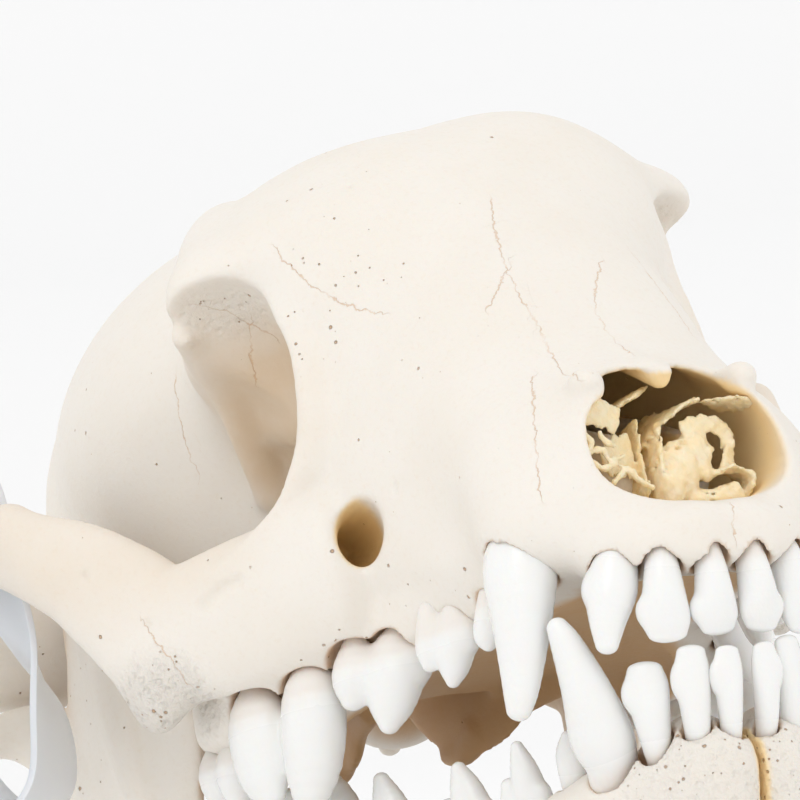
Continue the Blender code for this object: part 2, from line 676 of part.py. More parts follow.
def build_band(group):
    """The plain plastic strap round the right cheek bone: a flat ribbon bent to a closed loop."""
    points = []
    for x, y, z, turn in smooth_path(BAND_LINE, 3, closed=True):
        angle = math.radians(turn)
        lean = np.array((math.sin(angle), -math.cos(angle), 0.0))
        points += [np.array((x, y, z)) - lean * BAND_WIDTH / 2, np.array((x, y, z)) + lean * BAND_WIDTH / 2]
    to_world = skull_to_world()
    count = len(points)
    faces = [(i, (i + 2) % count, (i + 3) % count, i + 1) for i in range(0, count, 2)]
    mesh = bpy.data.meshes.new("tag_band")
    mesh.from_pydata([to_world @ Vector(p) for p in points], [], faces)
    mesh.materials.append(material("plastic", PLASTIC, 0.35))
    band = bpy.data.objects.new("tag_band", mesh)
    group.objects.link(band)
    thick = band.modifiers.new("thick", "SOLIDIFY")
    thick.thickness = BAND_THICKNESS * MM
    thick.offset = 0
    return band


def main():
    clear_scene()
    group = collection("dog_skull")
    cutters = collection("cutters")
    points, faces = cranium_clay(CRANIUM_STEP).mirrored().surface()
    points = placed_points(points, Matrix.Identity(4), True)
    finish = material("bone_cranium", BONE, 0.6)
    cranium = solid("cranium", points, faces, False, group, finish, CRANIUM_TRIANGLES)
    points, faces = jaw_clay(JAW_STEP).surface()
    table = table_cutter(cutters)
    upper_teeth = []
    for side, sign in (("left", 1), ("right", -1)):
        finish = material(f"bone_jaw_{side}", BONE, 0.6)
        jaw = solid(f"mandible_{side}", points * (sign, 1, 1), faces, sign < 0, group, finish, JAW_TRIANGLES)
        upper_teeth += build_teeth(group, "upper", UPPER_TEETH, side)
        carve(jaw, socket_cutter(build_teeth(group, "lower", LOWER_TEETH, side), cutters))
        carve(jaw, table)
    carve(cranium, socket_cutter(upper_teeth, cutters))
    build_band(group)


if __name__ == "__main__":
    main()
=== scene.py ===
"""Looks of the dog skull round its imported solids.

The bones and teeth are the forms of the solids again, worked out as clay on a finer grid, with the sutures,
pits, pores and stains of real bone. Anatomy is in millimetres in the skull's own frame: the origin is the
bone between the two middle upper incisors, X the dog's left, Y back along the skull and Z up from the palate.
"""

import json
import math

import bpy
import numpy as np
import openvdb
from mathutils import Matrix, Vector

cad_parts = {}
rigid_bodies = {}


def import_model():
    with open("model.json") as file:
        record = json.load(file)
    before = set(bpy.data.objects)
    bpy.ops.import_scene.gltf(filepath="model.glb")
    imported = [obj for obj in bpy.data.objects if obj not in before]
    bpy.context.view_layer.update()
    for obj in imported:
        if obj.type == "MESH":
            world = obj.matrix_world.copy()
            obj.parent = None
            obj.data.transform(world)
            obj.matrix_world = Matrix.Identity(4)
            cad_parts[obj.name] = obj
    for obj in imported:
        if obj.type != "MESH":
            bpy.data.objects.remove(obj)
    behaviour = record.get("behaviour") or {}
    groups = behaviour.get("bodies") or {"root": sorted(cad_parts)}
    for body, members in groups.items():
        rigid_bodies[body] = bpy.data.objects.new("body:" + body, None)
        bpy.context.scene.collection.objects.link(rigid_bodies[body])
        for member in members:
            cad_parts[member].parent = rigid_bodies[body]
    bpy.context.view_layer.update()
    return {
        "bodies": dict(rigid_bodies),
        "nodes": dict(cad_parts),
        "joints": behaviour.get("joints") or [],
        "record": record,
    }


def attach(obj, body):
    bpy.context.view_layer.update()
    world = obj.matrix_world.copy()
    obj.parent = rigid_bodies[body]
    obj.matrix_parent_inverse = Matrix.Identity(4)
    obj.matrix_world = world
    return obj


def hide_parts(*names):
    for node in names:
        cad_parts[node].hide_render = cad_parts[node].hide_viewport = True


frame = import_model()

MM = 0.001
PITCH = math.radians(8)
TABLE_CENTER = (2.13, -97.59, 60.9)
BRAINCASE_HALF_WIDTH = 40
BRAINCASE_TOP = 85
LEAN_FRONT = -0.03
LEAN_CHEEK = 0.05
LEAN_BROW = 0.12
BAND_WIDTH = 16
BAND_THICKNESS = 1.2
BAND_EDGE = 0.3
# a distance farther than any that matters
FAR = 60.0

# spacing of the clay's grid, and the most triangles that each piece keeps
CRANIUM_STEP = 0.6
JAW_STEP = 0.6
TOOTH_STEP = 0.3
SCROLL_STEP = 0.35
CRANIUM_TRIANGLES = 190000
JAW_TRIANGLES = 60000
TOOTH_TRIANGLES = 5000
SCROLL_TRIANGLES = 60000

CAMERA_TARGET = (-34.89, 28.32, 31.49)
CAMERA_YAW = -25.905
CAMERA_PITCH = -9.344
CAMERA_ROLL = -8.926
CAMERA_DISTANCE = 802.8
CAMERA_LENS = 246.4
CAMERA_SENSOR = 36

BONE = (0.83, 0.785, 0.72, 1.0)
BONE_SHADE = (0.79, 0.72, 0.62, 1.0)
# tan is the colour of the bone's grain, and also painted shade in the orbit and the mouth
TAN = (0.70, 0.52, 0.33, 1.0)
# painted shade and warm bounced light in the mouth
PAINTED_MOUTH_SHADE = (0.66, 0.42, 0.21, 1.0)
ORANGE = (0.97, 0.74, 0.40, 1.0)
NOSE_BONE = (0.92, 0.80, 0.58, 1.0)
# painted shade in the pits
PAINTED_PIT_SHADE = (0.50, 0.25, 0.08, 1.0)
SEAM = (0.62, 0.34, 0.14, 1.0)
ENAMEL = (0.85, 0.85, 0.835, 1.0)
DENTINE = (0.84, 0.78, 0.68, 1.0)
PLASTIC = (0.80, 0.83, 0.87, 1.0)
FLOOR = (0.95, 0.95, 0.95, 1.0)
# how far red, green and blue light spreads in the material: shares of a length in metres
SPREAD = (1.0, 0.6, 0.35)
SPREAD_SCALE = 0.0015

# name, place, width in metres and power in watts
LAMPS = [
    ("key", (-0.6, -0.6, 0.8), 0.5, 1.7),
    ("fill", (0.7, -0.8, 0.5), 0.9, 0.3),
]
LIT_PLACE = Vector((0, 0, 0.07))


# Clay: distance fields on a grid

class Clay:
    """A block of distance values that forms are blended onto or carved from. Negative is inside."""

    def __init__(self, low, high, step):
        self.low = np.array(low, float)
        self.step = step
        self.size = np.ceil((np.array(high, float) - self.low) / step).astype(int) + 1
        self.field = np.full(self.size, FAR, np.float32)

    def window(self, box, margin):
        """The part of the grid round a form, with its coordinates."""
        first = np.floor((box[0] - margin - self.low) / self.step).astype(int)
        last = np.ceil((box[1] + margin - self.low) / self.step).astype(int) + 1
        first = np.clip(first, 0, self.size)
        last = np.clip(last, 0, self.size)
        where = tuple(slice(a, b) for a, b in zip(first, last))
        axes = [self.low[k] + self.step * np.arange(first[k], last[k], dtype=np.float32) for k in range(3)]
        grid = (axes[0][:, None, None], axes[1][None, :, None], axes[2][None, None, :])
        return where, grid

    def add(self, form, blend=3.0):
        """Joins a form on, with a fillet about as wide as blend."""
        box, distance = form
        where, grid = self.window(box, blend + 2 * self.step)
        if self.field[where].size:
            self.field[where] = smooth_least(self.field[where], distance(*grid), blend)

    def cut(self, form, blend=1.5):
        """Carves a form away, with an edge rounded by about blend."""
        box, distance = form
        where, grid = self.window(box, blend + 2 * self.step)
        if self.field[where].size:
            self.field[where] = -smooth_least(-self.field[where], distance(*grid), blend)

    def lines(self):
        """The coordinates of all grid planes, shaped to spread over the field."""
        x, y, z = (self.low[k] + self.step * np.arange(self.size[k], dtype=np.float32) for k in range(3))
        return x[:, None, None], y[None, :, None], z[None, None, :]

    def mirrored(self):
        """The field of both halves, for clay that was worked on the left of X = 0 only."""
        both = Clay(self.low, self.low, self.step)
        both.low = self.low * (-1, 1, 1)
        both.low[0] = -(self.low[0] + self.step * (self.size[0] - 1))
        both.field = np.concatenate([self.field[:0:-1], self.field], axis=0)
        both.size = np.array(both.field.shape)
        return both

    def surface(self):
        """Points and faces where the field is zero."""
        grid = openvdb.FloatGrid(FAR)
        grid.copyFromArray(np.pad(self.field, 1, constant_values=FAR))
        points, triangles, quads = grid.convertToPolygons(isovalue=0.0, adaptivity=0.0)
        return (points - 1) * self.step + self.low, [list(map(int, face)) for face in (*triangles, *quads)]


def smooth_least(a, b, blend):
    """The lesser of two distances, rounded where they are closer than blend."""
    near = np.clip(0.5 + 0.5 * (b - a) / blend, 0, 1)
    return b + (a - b) * near - blend * near * (1 - near)


def egg(center, radii, turn=(0, 0, 0)):
    """An ellipsoid, turned by degrees about X, Y and Z."""
    center = np.array(center, float)
    radii = np.array(radii, float)
    axes = np.array(Matrix.Rotation(math.radians(turn[2]), 3, "Z")
                    @ Matrix.Rotation(math.radians(turn[1]), 3, "Y")
                    @ Matrix.Rotation(math.radians(turn[0]), 3, "X"))
    reach = np.sqrt(((axes * radii) ** 2).sum(axis=1))

    def distance(x, y, z):
        offset = (x - center[0], y - center[1], z - center[2])
        along = [sum(axes[k, i] * offset[k] for k in range(3)) for i in range(3)]
        return ellipse_distance(along, radii)

    return (center - reach, center + reach), distance


def ellipse_distance(along, radii):
    """Near enough the distance to an ellipsoid, from the offsets along its axes."""
    first = np.sqrt(sum((a / r) ** 2 for a, r in zip(along, radii)))
    second = np.sqrt(sum((a / (r * r)) ** 2 for a, r in zip(along, radii))) + 1e-6
    return first * (first - 1) / second


def smooth_path(points, spans, closed=False):
    """A curve through the rows, which may hold a place and widths, as spans short steps per row."""
    rows = np.array(points, float)
    padded = np.vstack([2 * rows[0] - rows[1], rows, 2 * rows[-1] - rows[-2]])
    if closed:
        padded = np.vstack([rows[-1], rows, rows[:2]])
    steps = []
    for i in range(1, len(padded) - 2):
        a, b, c, d = padded[i - 1:i + 3]
        for t in np.arange(spans) / spans:
            curve = 2 * b + (c - a) * t + (2 * a - 5 * b + 4 * c - d) * t * t
            steps.append(0.5 * (curve + (3 * b - a - 3 * c + d) * t ** 3))
    if not closed:
        steps.append(rows[-1])
    return np.array(steps)


def limb(points, up=(0, 0, 1), spans=4):
    """A bar along a smooth path. Rows hold x, y, z, half width and half height, or one radius."""
    rows = [tuple(row) if len(row) == 5 else (*row, row[3]) for row in points]
    path = smooth_path(rows, spans)
    pieces = []
    for start, end in zip(path[:-1], path[1:]):
        along = end[:3] - start[:3]
        length = np.linalg.norm(along)
        along = along / length
        side = np.cross(along, up)
        side = side / np.linalg.norm(side)
        pieces.append((start, end, along, length, side, np.cross(side, along)))

    def distance(x, y, z):
        least = None
        for start, end, along, length, side, top in pieces:
            offset = (x - start[0], y - start[1], z - start[2])
            run = sum(along[k] * offset[k] for k in range(3))
            share = np.clip(run / length, 0, 1)
            wide = start[3] + (end[3] - start[3]) * share
            tall = start[4] + (end[4] - start[4]) * share
            axes = (sum(side[k] * offset[k] for k in range(3)),
                    sum(top[k] * offset[k] for k in range(3)),
                    run - share * length)
            piece = ellipse_distance(axes, (wide, tall, np.minimum(wide, tall)))
            least = piece if least is None else np.minimum(least, piece)
        return least

    reach = np.abs(path[:, 3:]).max(axis=1)[:, None]
    return ((path[:, :3] - reach).min(axis=0), (path[:, :3] + reach).max(axis=0)), distance


def hull_form(stations):
    """A closed form along Y.

    Rows hold y, half width, height of the widest point, top, bottom and squareness.
    """
    table = smooth_path(stations, 6)
    first, last = table[0, 0], table[-1, 0]
    low = (-table[:, 1].max(), first, table[:, 4].min())
    high = (table[:, 1].max(), last, table[:, 3].max())

    def distance(x, y, z):
        at = np.clip(y, first, last)
        wide, middle, top, bottom, square = (np.interp(at, table[:, 0], table[:, k]) for k in range(1, 6))
        across = np.abs(x)
        rise = z - middle
        tall = np.where(rise > 0, top - middle, middle - bottom)
        grown = ((across / wide) ** square + (np.abs(rise) / tall) ** square) ** (1 / square) + 1e-6
        side = np.sqrt(across ** 2 + rise ** 2) * (1 - 1 / grown)
        side = np.where(grown < 0.3, -0.5 * np.minimum(wide, tall), side)
        ends = np.maximum(first - y, y - last)
        return -smooth_least(-side, -ends, 3.0)

    return (np.array(low, float), np.array(high, float)), distance


# The cranium

FACE = [
    (-1.5, 9, 3, 7, -1, 2.6),
    (4, 15.5, 4, 11, -1, 2.6),
    (8, 19, 6, 27, -1, 2.5),
    (13, 22, 8, 31, -1, 2.4),
    (20, 24.5, 9, 34, -1, 2.4),
    (28, 25.5, 10, 40, -2, 2.3),
    (37, 27.6, 10, 51, -3, 2.4),
    (47, 30, 14, 61, -4, 2.35),
    (57, 33, 18, 68, -4, 2.25),
    (66, 35.5, 24, 74, -2, 2.1),
    (78, 37.5, 28, 79, 2, 2.1),
]
TOOTH_SHELF = [
    (24, 22, 1, 9, -1, 3),
    (40, 24, 1, 9, -2, 3),
    (52, 29.5, 1, 10, -3, 3),
    (62, 35.5, 0, 11, -4, 3),
    (74, 42.5, -2, 12, -8, 3),
    (86, 47, -3, 12, -12.5, 3),
    (96, 46, -3, 11, -12.5, 3),
    (106, 38.5, -2, 9, -9, 3),
]
PALATE_HOLLOW = [
    (6, 6, -3, 1, -8, 2),
    (20, 13, -5, 1, -12, 2.2),
    (40, 17, -6, 0.5, -14, 2.2),
    (60, 22, -8, -0.5, -20, 2.2),
    (80, 30, -9, -2.2, -24, 2.2),
    (100, 31, -10, -3.5, -28, 2.2),
    (114, 31, -10, -3.5, -28, 2.2),
]
NOSE_HOLLOW = [
    (-6, 15, 15, 26, 8.2, 2.4),
    (3, 15.5, 16, 27, 8.6, 2.4),
    (9, 15.8, 17, 28.5, 8.8, 2.4),
    (14, 16, 18, 30.5, 8, 2.3),
    (24, 16, 19, 34.5, 7, 2.2),
    (36, 15, 20, 43, 6, 2.2),
    (60, 12, 22, 46, 6, 2.2),
    (90, 9.5, 12, 26, 4, 2.2),
    (108, 8, 2, 8, -6, 2.2),
    (118, 8, -4, 3, -12, 2.2),
]
SKULL_BASE = [
    (70, 22, 22, 52, 2, 2.4),
    (84, 19, 22, 52, 2, 2.4),
    (98, 17, 20, 48, 0, 2.6),
    (112, 16, 16, 40, -1, 2.6),
    (135, 18, 16, 36, 0, 2.6),
    (160, 20, 20, 42, 4, 2.4),
    (184, 18, 26, 48, 13, 2.2),
]
CHEEK_ARCH = [
    (35, 60, 13, 5, 11),
    (44, 73, 11, 5.5, 11.5),
    (52.5, 84, 10.5, 5, 10.5),
    (57.5, 89.5, 17, 4.5, 9.5),
    (62, 95, 23.5, 4, 8.2),
    (67, 103, 29, 3.2, 7),
    (71, 115, 35, 2.8, 6.5),
    (70.5, 130, 38, 2.8, 6.2),
    (64, 144, 35, 3.5, 6),
    (54, 153, 25, 6.5, 6.5),
    (41, 156, 21, 8, 7),
]


def cranium_clay(step):
    """The left half of the cranium, without its teeth."""
    clay = Clay((0, -6, -22), (78, 196, 94), step)
    add_face(clay)
    add_braincase(clay)
    carve_orbit(clay)
    add_brow(clay)
    add_arch(clay)
    add_base(clay)
    carve_nose(clay)
    carve_holes(clay)
    carve_collars(clay, UPPER_TEETH)
    return clay


def add_face(clay):
    clay.add(hull_form(FACE), 4)
    clay.add(egg((0, 86, 58), (39, 35, 23.5)), 9)
    clay.add(egg((17, 85, 62), (20.5, 25, 20.6)), 8)
    clay.add(hull_form(TOOTH_SHELF), 5)
    # bone over the root of the canine
    clay.add(limb([(21.5, 19.5, 9, 6), (21, 25, 18, 5), (19, 33, 26, 3.5)]), 11)
    # bone over the roots of the incisors
    for x, y, radius in ((4, 2.5, 4.2), (10, 5, 4.2), (14.5, 9.8, 4.4)):
        clay.add(limb([(x, y, 2, radius), (x * 0.92, y + 4, 11, radius * 0.8)]), 3)


def add_braincase(clay):
    clay.add(egg((0, 142, BRAINCASE_TOP - 35), (BRAINCASE_HALF_WIDTH, 46, 35)), 10)
    clay.add(egg((0, 140, 30), (31, 44, 24)), 10)
    clay.add(egg((0, 168, 46), (29, 19, 33)), 9)
    # crest along the top, and the crest that frames the back of the skull
    clay.add(limb([(0, 118, 80, 8, 4), (0, 148, 82, 6, 4), (0, 170, 82, 4), (0, 186, 75, 3.5)]), 6)
    clay.add(limb([(0, 186, 73, 4), (17, 180, 66, 3.5), (28.5, 172, 50, 3.5), (36, 163, 28, 3.5)]), 7)


def carve_orbit(clay):
    clay.cut(egg((60, 86, 38), (36, 30, 21)), 3)
    clay.cut(egg((64, 112, 42), (30, 18, 26)), 6)


def carve_brow(clay):
    """The hollow under the process, with the sharp rim over it."""
    clay.cut(egg((49.4, 75.7, 41.4), (29.1, 16, 24.8), (-1, -18, -8.2)), 1.5)


def add_brow(clay):
    """The process behind the orbit and the ridge that runs back from it over the temple."""
    process = [(24, 76, 68.5, 7, 6), (34, 79, 67, 6.5, 5.5), (40, 81, 63.8, 5.5, 5), (43.4, 82, 61.4, 4)]
    clay.add(limb(process), 5)
    clay.add(limb([(39.5, 84, 67.5, 3), (32, 94, 74.5, 3.5), (22, 107, 79, 4), (8, 122, 80, 4)]), 8)
    # rim along the front of the orbit
    clay.add(limb([(38, 76.5, 64, 2.5), (33.6, 70.5, 55.5, 2.4), (33.5, 63, 43, 2.2), (36, 63, 30, 2.4),
                   (46, 73.5, 18, 2.8)]), 5)
    carve_brow(clay)
    clay.add(limb([(42, 86, 59.5, 2), (38, 90.5, 56.5, 2), (31.5, 95.5, 49.5, 2.2), (28, 100, 43, 2.4),
                   (23, 105, 33, 2.5)]), 3)


def add_arch(clay):
    clay.add(limb(CHEEK_ARCH), 4)
    clay.add(limb([(63, 98, 24, 3.5), (67, 103, 31.5, 2.8), (68, 105, 35.5, 2.2)]), 4)
    clay.add(egg((55, 87, 3), (4.2, 6.5, 7)), 4)
    # seat of the jaw joint
    clay.add(limb([(43, 157, 14, 4), (59, 155, 14.5, 4)]), 4)
    clay.add(limb([(45, 160, 12, 3), (46.5, 161, 5, 2)]), 3)


def add_base(clay):
    clay.add(hull_form(SKULL_BASE), 5)
    clay.add(egg((19, 158, 4), (10.5, 13, 10)), 3)
    clay.add(egg((12, 186, 23), (7, 7.5, 9.5), (0, 20, 0)), 3)
    clay.add(limb([(29, 172, 18, 5), (27, 178, 6, 3.5), (26, 179, -3, 2.2)]), 4)


def carve_nose(clay):
    clay.cut(hull_form(PALATE_HOLLOW), 2)
    # plates either side of the way from the nose to the throat, each with a hook
    clay.add(limb([(17.5, 92, 0, 3, 7.5), (14.5, 104, -1, 2.4, 8), (12.5, 113, -3, 2, 9.5),
                   (11, 124, -2, 1.9, 8.5), (10, 134, 2, 1.8, 5)]), 3)
    clay.add(limb([(12, 115, -9, 2), (11.5, 120, -12, 1.7), (11.5, 126, -11.5, 1.5)]), 2)
    clay.cut(hull_form(NOSE_HOLLOW), 1.5)
    # the scalloped edge of the nasal bones, with a point in the middle and a knob at the corner
    clay.cut(egg((6.6, 8, 29.5), (5.6, 7.5, 6)), 1)
    clay.add(limb([(0, 24, 34.5, 2.4, 1.6), (0, 13, 29, 1.6)]), 1.5)
    clay.add(egg((12.8, 12, 28.4), (2.4, 3.2, 2.3)), 2)
    # the gap between the sockets of the second and third incisors
    clay.cut(egg((12, 5.4, -1.6), (1.8, 1.8, 2.6)), 0.8)
    # the wall between the two sides, and the curled plates
    clay.add(limb([(0, 18, 8, 1.3, 5), (0, 40, 14, 1.3, 9), (0, 70, 16, 1.3, 14)]), 1)
    clay.add(limb([(6, 20, 16, 3.2, 6), (7.5, 40, 20, 4, 8), (9.5, 68, 24, 5, 10)]), 1)


def collar_forms(teeth):
    """Rods round the necks of the teeth, one for each root that shows."""
    forms = []
    for gum, tip, facing, kind, width in teeth.values():
        gum, tip = np.array(gum, float), np.array(tip, float)
        up = (tip - gum) / np.linalg.norm(tip - gum)
        for share in NECKS[kind]:
            offset = share * width * row_direction(facing)
            radius = NECK_RADIUS[kind] * width
            ends = (gum + offset - 1.5 * up, gum + offset + 12 * up)
            forms.append(limb([(*end, radius) for end in ends], (1, 0.1, 0)))
    return forms


def carve_collars(clay, teeth):
    """Notches in the edge of the jaw, which bare the neck of each tooth."""
    for form in collar_forms(teeth):
        clay.cut(form, 0.8)


def carve_holes(clay):
    # the infraorbital foramen, above the third premolar
    clay.cut(limb([(35, 49, 17.8, 3.8, 5.6), (29.5, 61, 17, 3.5, 4.5), (28, 74, 17, 3)]), 1)
    # the hollow of the braincase and its way out at the back
    clay.cut(egg((0, 143, 46), (34, 38, 30)), 2)
    clay.cut(limb([(0, 166, 34, 8), (0, 200, 30, 8)]), 2)


# The lower jaw

JAW_BODY = [
    (5, 8, -33, 4.5, 10),
    (11, 15, -36, 5.5, 11),
    (17, 26, -39.5, 5.5, 11.5),
    (21, 40, -41.5, 5, 11.5),
    (25, 56, -42, 5, 12),
    (29, 74, -40.5, 5, 11.2),
    (33, 92, -38.5, 5, 10.2),
    (38, 110, -35, 4.5, 10),
    (43, 128, -29, 3.5, 11),
    (46, 142, -29, 3, 8.5),
]


def jaw_clay(step):
    """The left half of the lower jaw."""
    clay = Clay((0.6, -4, -60), (64, 166, 40), step)
    clay.add(limb(JAW_BODY), 4)
    # the plate that rises behind the teeth
    clay.add(egg((43, 130, -10), (3.2, 18, 26), (18, 0, -13)), 6)
    clay.add(egg((45, 134, 12), (2.4, 11, 22), (-6, 0, 0)), 5)
    clay.add(limb([(44.5, 122, -12, 2.5), (45.5, 127, 6, 2.5), (45.5, 133, 24, 2)]), 4)
    # the joint's roller and the process below it
    clay.add(limb([(44, 150, 2, 3.2), (51, 150, 3.6, 4), (59, 149, 2.6, 3.4)]), 4)
    clay.add(limb([(46.5, 139, -10, 4), (50, 148, 0, 4)]), 5)
    clay.add(limb([(46, 138, -31, 4.5), (48, 149, -35.5, 4), (48.5, 157, -37.2, 3)]), 4)
    # the chin, where the halves meet
    clay.add(egg((5.5, 10, -33), (6.5, 9.5, 11.5)), 5)
    edge = [(3, 4.5, -29, 3.2, 4), (9, 8, -30, 3.5, 4.5), (15, 16, -32, 4.5, 5), (18, 26, -34, 4, 5)]
    clay.add(limb(edge), 4)
    carve_collars(clay, LOWER_TEETH)
    return clay


# Teeth, given as gum point, tip, the way they face in degrees from the front, and kind

UPPER_TEETH = {
    "incisor_1": ((3.4, 0.9, -1.0), (3.7, 1.4, -11.3), 4, "incisor", 7.0),
    "incisor_2": ((9.9, 3.2, 0.3), (11.3, 2.8, -11.6), 18, "incisor", 7.6),
    "incisor_3": ((14.2, 8.2, 2.2), (19.6, 7.0, -12.0), 38, "fang", 8.2),
    "canine": ((22.6, 20.0, 8.0), (28.4, 19.4, -19.2), 60, "canine", 11.6),
    "premolar_1": ((23.4, 33.3, -0.8), (24.8, 33.3, -6.5), 70, "peg", 5.6),
    "premolar_2": ((25.8, 43.4, -2.2), (26.6, 42.4, -9.8), 55, "blade", 10.5),
    "premolar_3": ((30.4, 57.5, -2.8), (31.6, 56, -12.8), 42, "blade", 15.5),
    "premolar_4": ((40.1, 73.0, -5.5), (41.8, 71, -23), 62, "shear", 20.0),
    "molar_1": ((42.0, 91.0, -11.5), (43.0, 90.5, -18), 78, "grinder", 12.5),
    "molar_2": ((37.0, 101.5, -11.0), (37.5, 101, -15.5), 84, "grinder", 8.0),
}
LOWER_TEETH = {
    "incisor_1": ((2.9, 3.6, -25), (3.2, 0.6, -12.5), 4, "incisor", 4.8),
    "incisor_2": ((7.4, 5.6, -25.5), (8.1, 2.4, -11.8), 14, "incisor", 5.6),
    "incisor_3": ((12.0, 9.6, -25.5), (13.7, 6.8, -13.2), 30, "incisor", 6.8),
    "canine": ((16.0, 15.8, -26.5), (23.8, 12.6, -4.6), 45, "canine", 9.6),
    "premolar_1": ((17.4, 26.2, -27.5), (18.2, 25.0, -19.6), 65, "peg", 5.4),
    "premolar_2": ((20.4, 36.5, -29.5), (21.4, 35.4, -19.2), 70, "blade", 9.5),
    "premolar_3": ((23.6, 50.0, -30), (24.6, 49.5, -20), 72, "blade", 11.5),
    "premolar_4": ((28.0, 68.0, -30), (29.0, 67.5, -18.5), 72, "blade", 12.5),
    "molar_1": ((31.6, 86.5, -29), (32.6, 85, -14), 74, "shear", 20.0),
    "molar_2": ((35.2, 103.0, -27), (35.6, 102.5, -21.5), 74, "grinder", 9.0),
    "molar_3": ((37.4, 111.0, -25.5), (37.6, 111, -22), 74, "peg", 5.0),
}


# where the necks of a tooth stand along the row, and their radius, as shares of its width
NECKS = {
    "incisor": (0,),
    "fang": (0,),
    "canine": (0,),
    "peg": (0,),
    "blade": (-0.14, 0.28),
    "shear": (-0.25, 0.26),
    "grinder": (-0.2, 0.22),
}
NECK_RADIUS = {
    "incisor": 0.4,
    "fang": 0.44,
    "canine": 0.46,
    "peg": 0.44,
    "blade": 0.29,
    "shear": 0.26,
    "grinder": 0.3,
}


def row_direction(facing):
    """The way along the tooth row, to the back, for a tooth that faces so many degrees from the front."""
    angle = math.radians(facing)
    return np.array((math.cos(angle), math.sin(angle), 0))


def root_limb(rows):
    """A bar whose second width lies outward and inward."""
    return limb(rows, (0, 1, 0))


def tooth_forms(kind, width, height):
    """Forms of a tooth on its gum point.

    X runs along the row and to the back, Y outward and Z from the gum to the tip.
    """
    w, h = width, height
    if kind == "incisor":
        return [root_limb([(0, -1.4, -5.5, w * 0.2, w * 0.26), (0, 0, 0, w * 0.31, w * 0.38),
                           (0, 0.3, h * 0.4, w * 0.41, w * 0.38),
                           (0, 0.2, h * 0.7, w * 0.48, w * 0.27),
                           (-0.2, 0, h - 1.1, w * 0.38, w * 0.16)]),
                egg((w * 0.4, 0, h * 0.62), (w * 0.13, w * 0.16, h * 0.12))]
    if kind == "fang":
        return [root_limb([(0, -1.8, -6, w * 0.22, w * 0.26), (0, 0, 0, w * 0.36, w * 0.42),
                           (0, 0.4, h * 0.35, w * 0.46, w * 0.42),
                           (0, 0.2, h * 0.65, w * 0.34, w * 0.32),
                           (-0.4, 0, h - 1.4, w * 0.21, w * 0.18)]),
                egg((w * 0.36, 0, h * 0.36), (w * 0.16, w * 0.2, h * 0.14))]
    if kind == "canine":
        return [root_limb([(w * 0.3, -1, -9, w * 0.36, w * 0.34), (0.4, 0, 0, w * 0.4, w * 0.4),
                           (0, 0.6, h * 0.2, w * 0.49, w * 0.43),
                           (-w * 0.06, 0.8, h * 0.5, w * 0.38, w * 0.34),
                           (-w * 0.04, 0.3, h * 0.8, w * 0.25, w * 0.23),
                           (0, 0, h - 1.9, w * 0.17, w * 0.16)])]
    if kind == "peg":
        return [root_limb([(0, 0, -5, w * 0.3, w * 0.28), (0, 0, 0, w * 0.42, w * 0.36),
                           (0, 0, h * 0.5, w * 0.45, w * 0.34),
                           (-w * 0.05, 0, h - 1.3, w * 0.24, w * 0.2)])]
    if kind == "blade":
        return [root_limb([(-w * 0.2, 0, -5, 1.8, 1.8), (-w * 0.12, 0, 0, w * 0.32, w * 0.23),
                           (-w * 0.06, 0, h * 0.5, w * 0.26, w * 0.2),
                           (0, 0, h - 1.2, w * 0.11, w * 0.1)]),
                root_limb([(w * 0.26, 0, -5, 1.8, 1.8), (w * 0.29, 0, 0, w * 0.24, w * 0.21),
                           (w * 0.34, 0, h * 0.36, w * 0.13, w * 0.12)]),
                root_limb([(-w * 0.36, 0, -0.5, w * 0.15, w * 0.15),
                           (-w * 0.38, 0, h * 0.2, w * 0.1, w * 0.1)])]
    if kind == "shear":
        return [root_limb([(-w * 0.26, 0, -5, 2.4, 2.4), (-w * 0.25, 0, 0, w * 0.25, w * 0.24),
                           (-w * 0.19, 0, h * 0.5, w * 0.24, w * 0.2),
                           (-w * 0.1, 0, h - 1.5, w * 0.09, w * 0.08)]),
                root_limb([(w * 0.29, 0, -5, 2.4, 2.4), (w * 0.3, 0, 0, w * 0.26, w * 0.2),
                           (w * 0.29, 0, h * 0.4, w * 0.24, w * 0.16),
                           (w * 0.25, 0, h * 0.66, w * 0.13, w * 0.09)])]
    return [root_limb([(-w * 0.26, 1.5, -4, 2, 2), (-w * 0.2, 1.5, 0, w * 0.28, w * 0.3),
                       (-w * 0.2, 1.5, h - 1.5, w * 0.16, w * 0.16)]),
            root_limb([(w * 0.26, 1.2, -4, 2, 2), (w * 0.22, 1.2, 0, w * 0.26, w * 0.3),
                       (w * 0.22, 1.2, h * 0.55, w * 0.16, w * 0.16)]),
            root_limb([(0, -w * 0.36, -3, 2, 2), (0, -w * 0.3, 0.5, w * 0.34, w * 0.3)])]


def tooth_clay(kind, width, height, step):
    half = width * 0.62 + 3
    clay = Clay((-half, -half, -14), (half, half, height + 2), step)
    for form in tooth_forms(kind, width, height):
        clay.add(form, 1.6)
    return clay


def placed_points(points, frame, upper):
    """Points in the skull's frame.

    The upper skull leans a little, and more at the brow than in front: it is higher on the left there.
    """
    placed = points @ np.array(frame.to_3x3()).T + np.array(frame.translation)
    if not upper:
        return placed
    back = eased(placed[:, 1], 10, 78)
    high = eased(placed[:, 2], 25, 62)
    slope = LEAN_FRONT + back * (LEAN_CHEEK - LEAN_FRONT + high * (LEAN_BROW - LEAN_CHEEK))
    placed[:, 2] += slope * placed[:, 0]
    return placed


def eased(value, start, end):
    """From 0 to 1 between start and end, with no kink."""
    share = np.clip((value - start) / (end - start), 0, 1)
    return share * share * (3 - 2 * share)


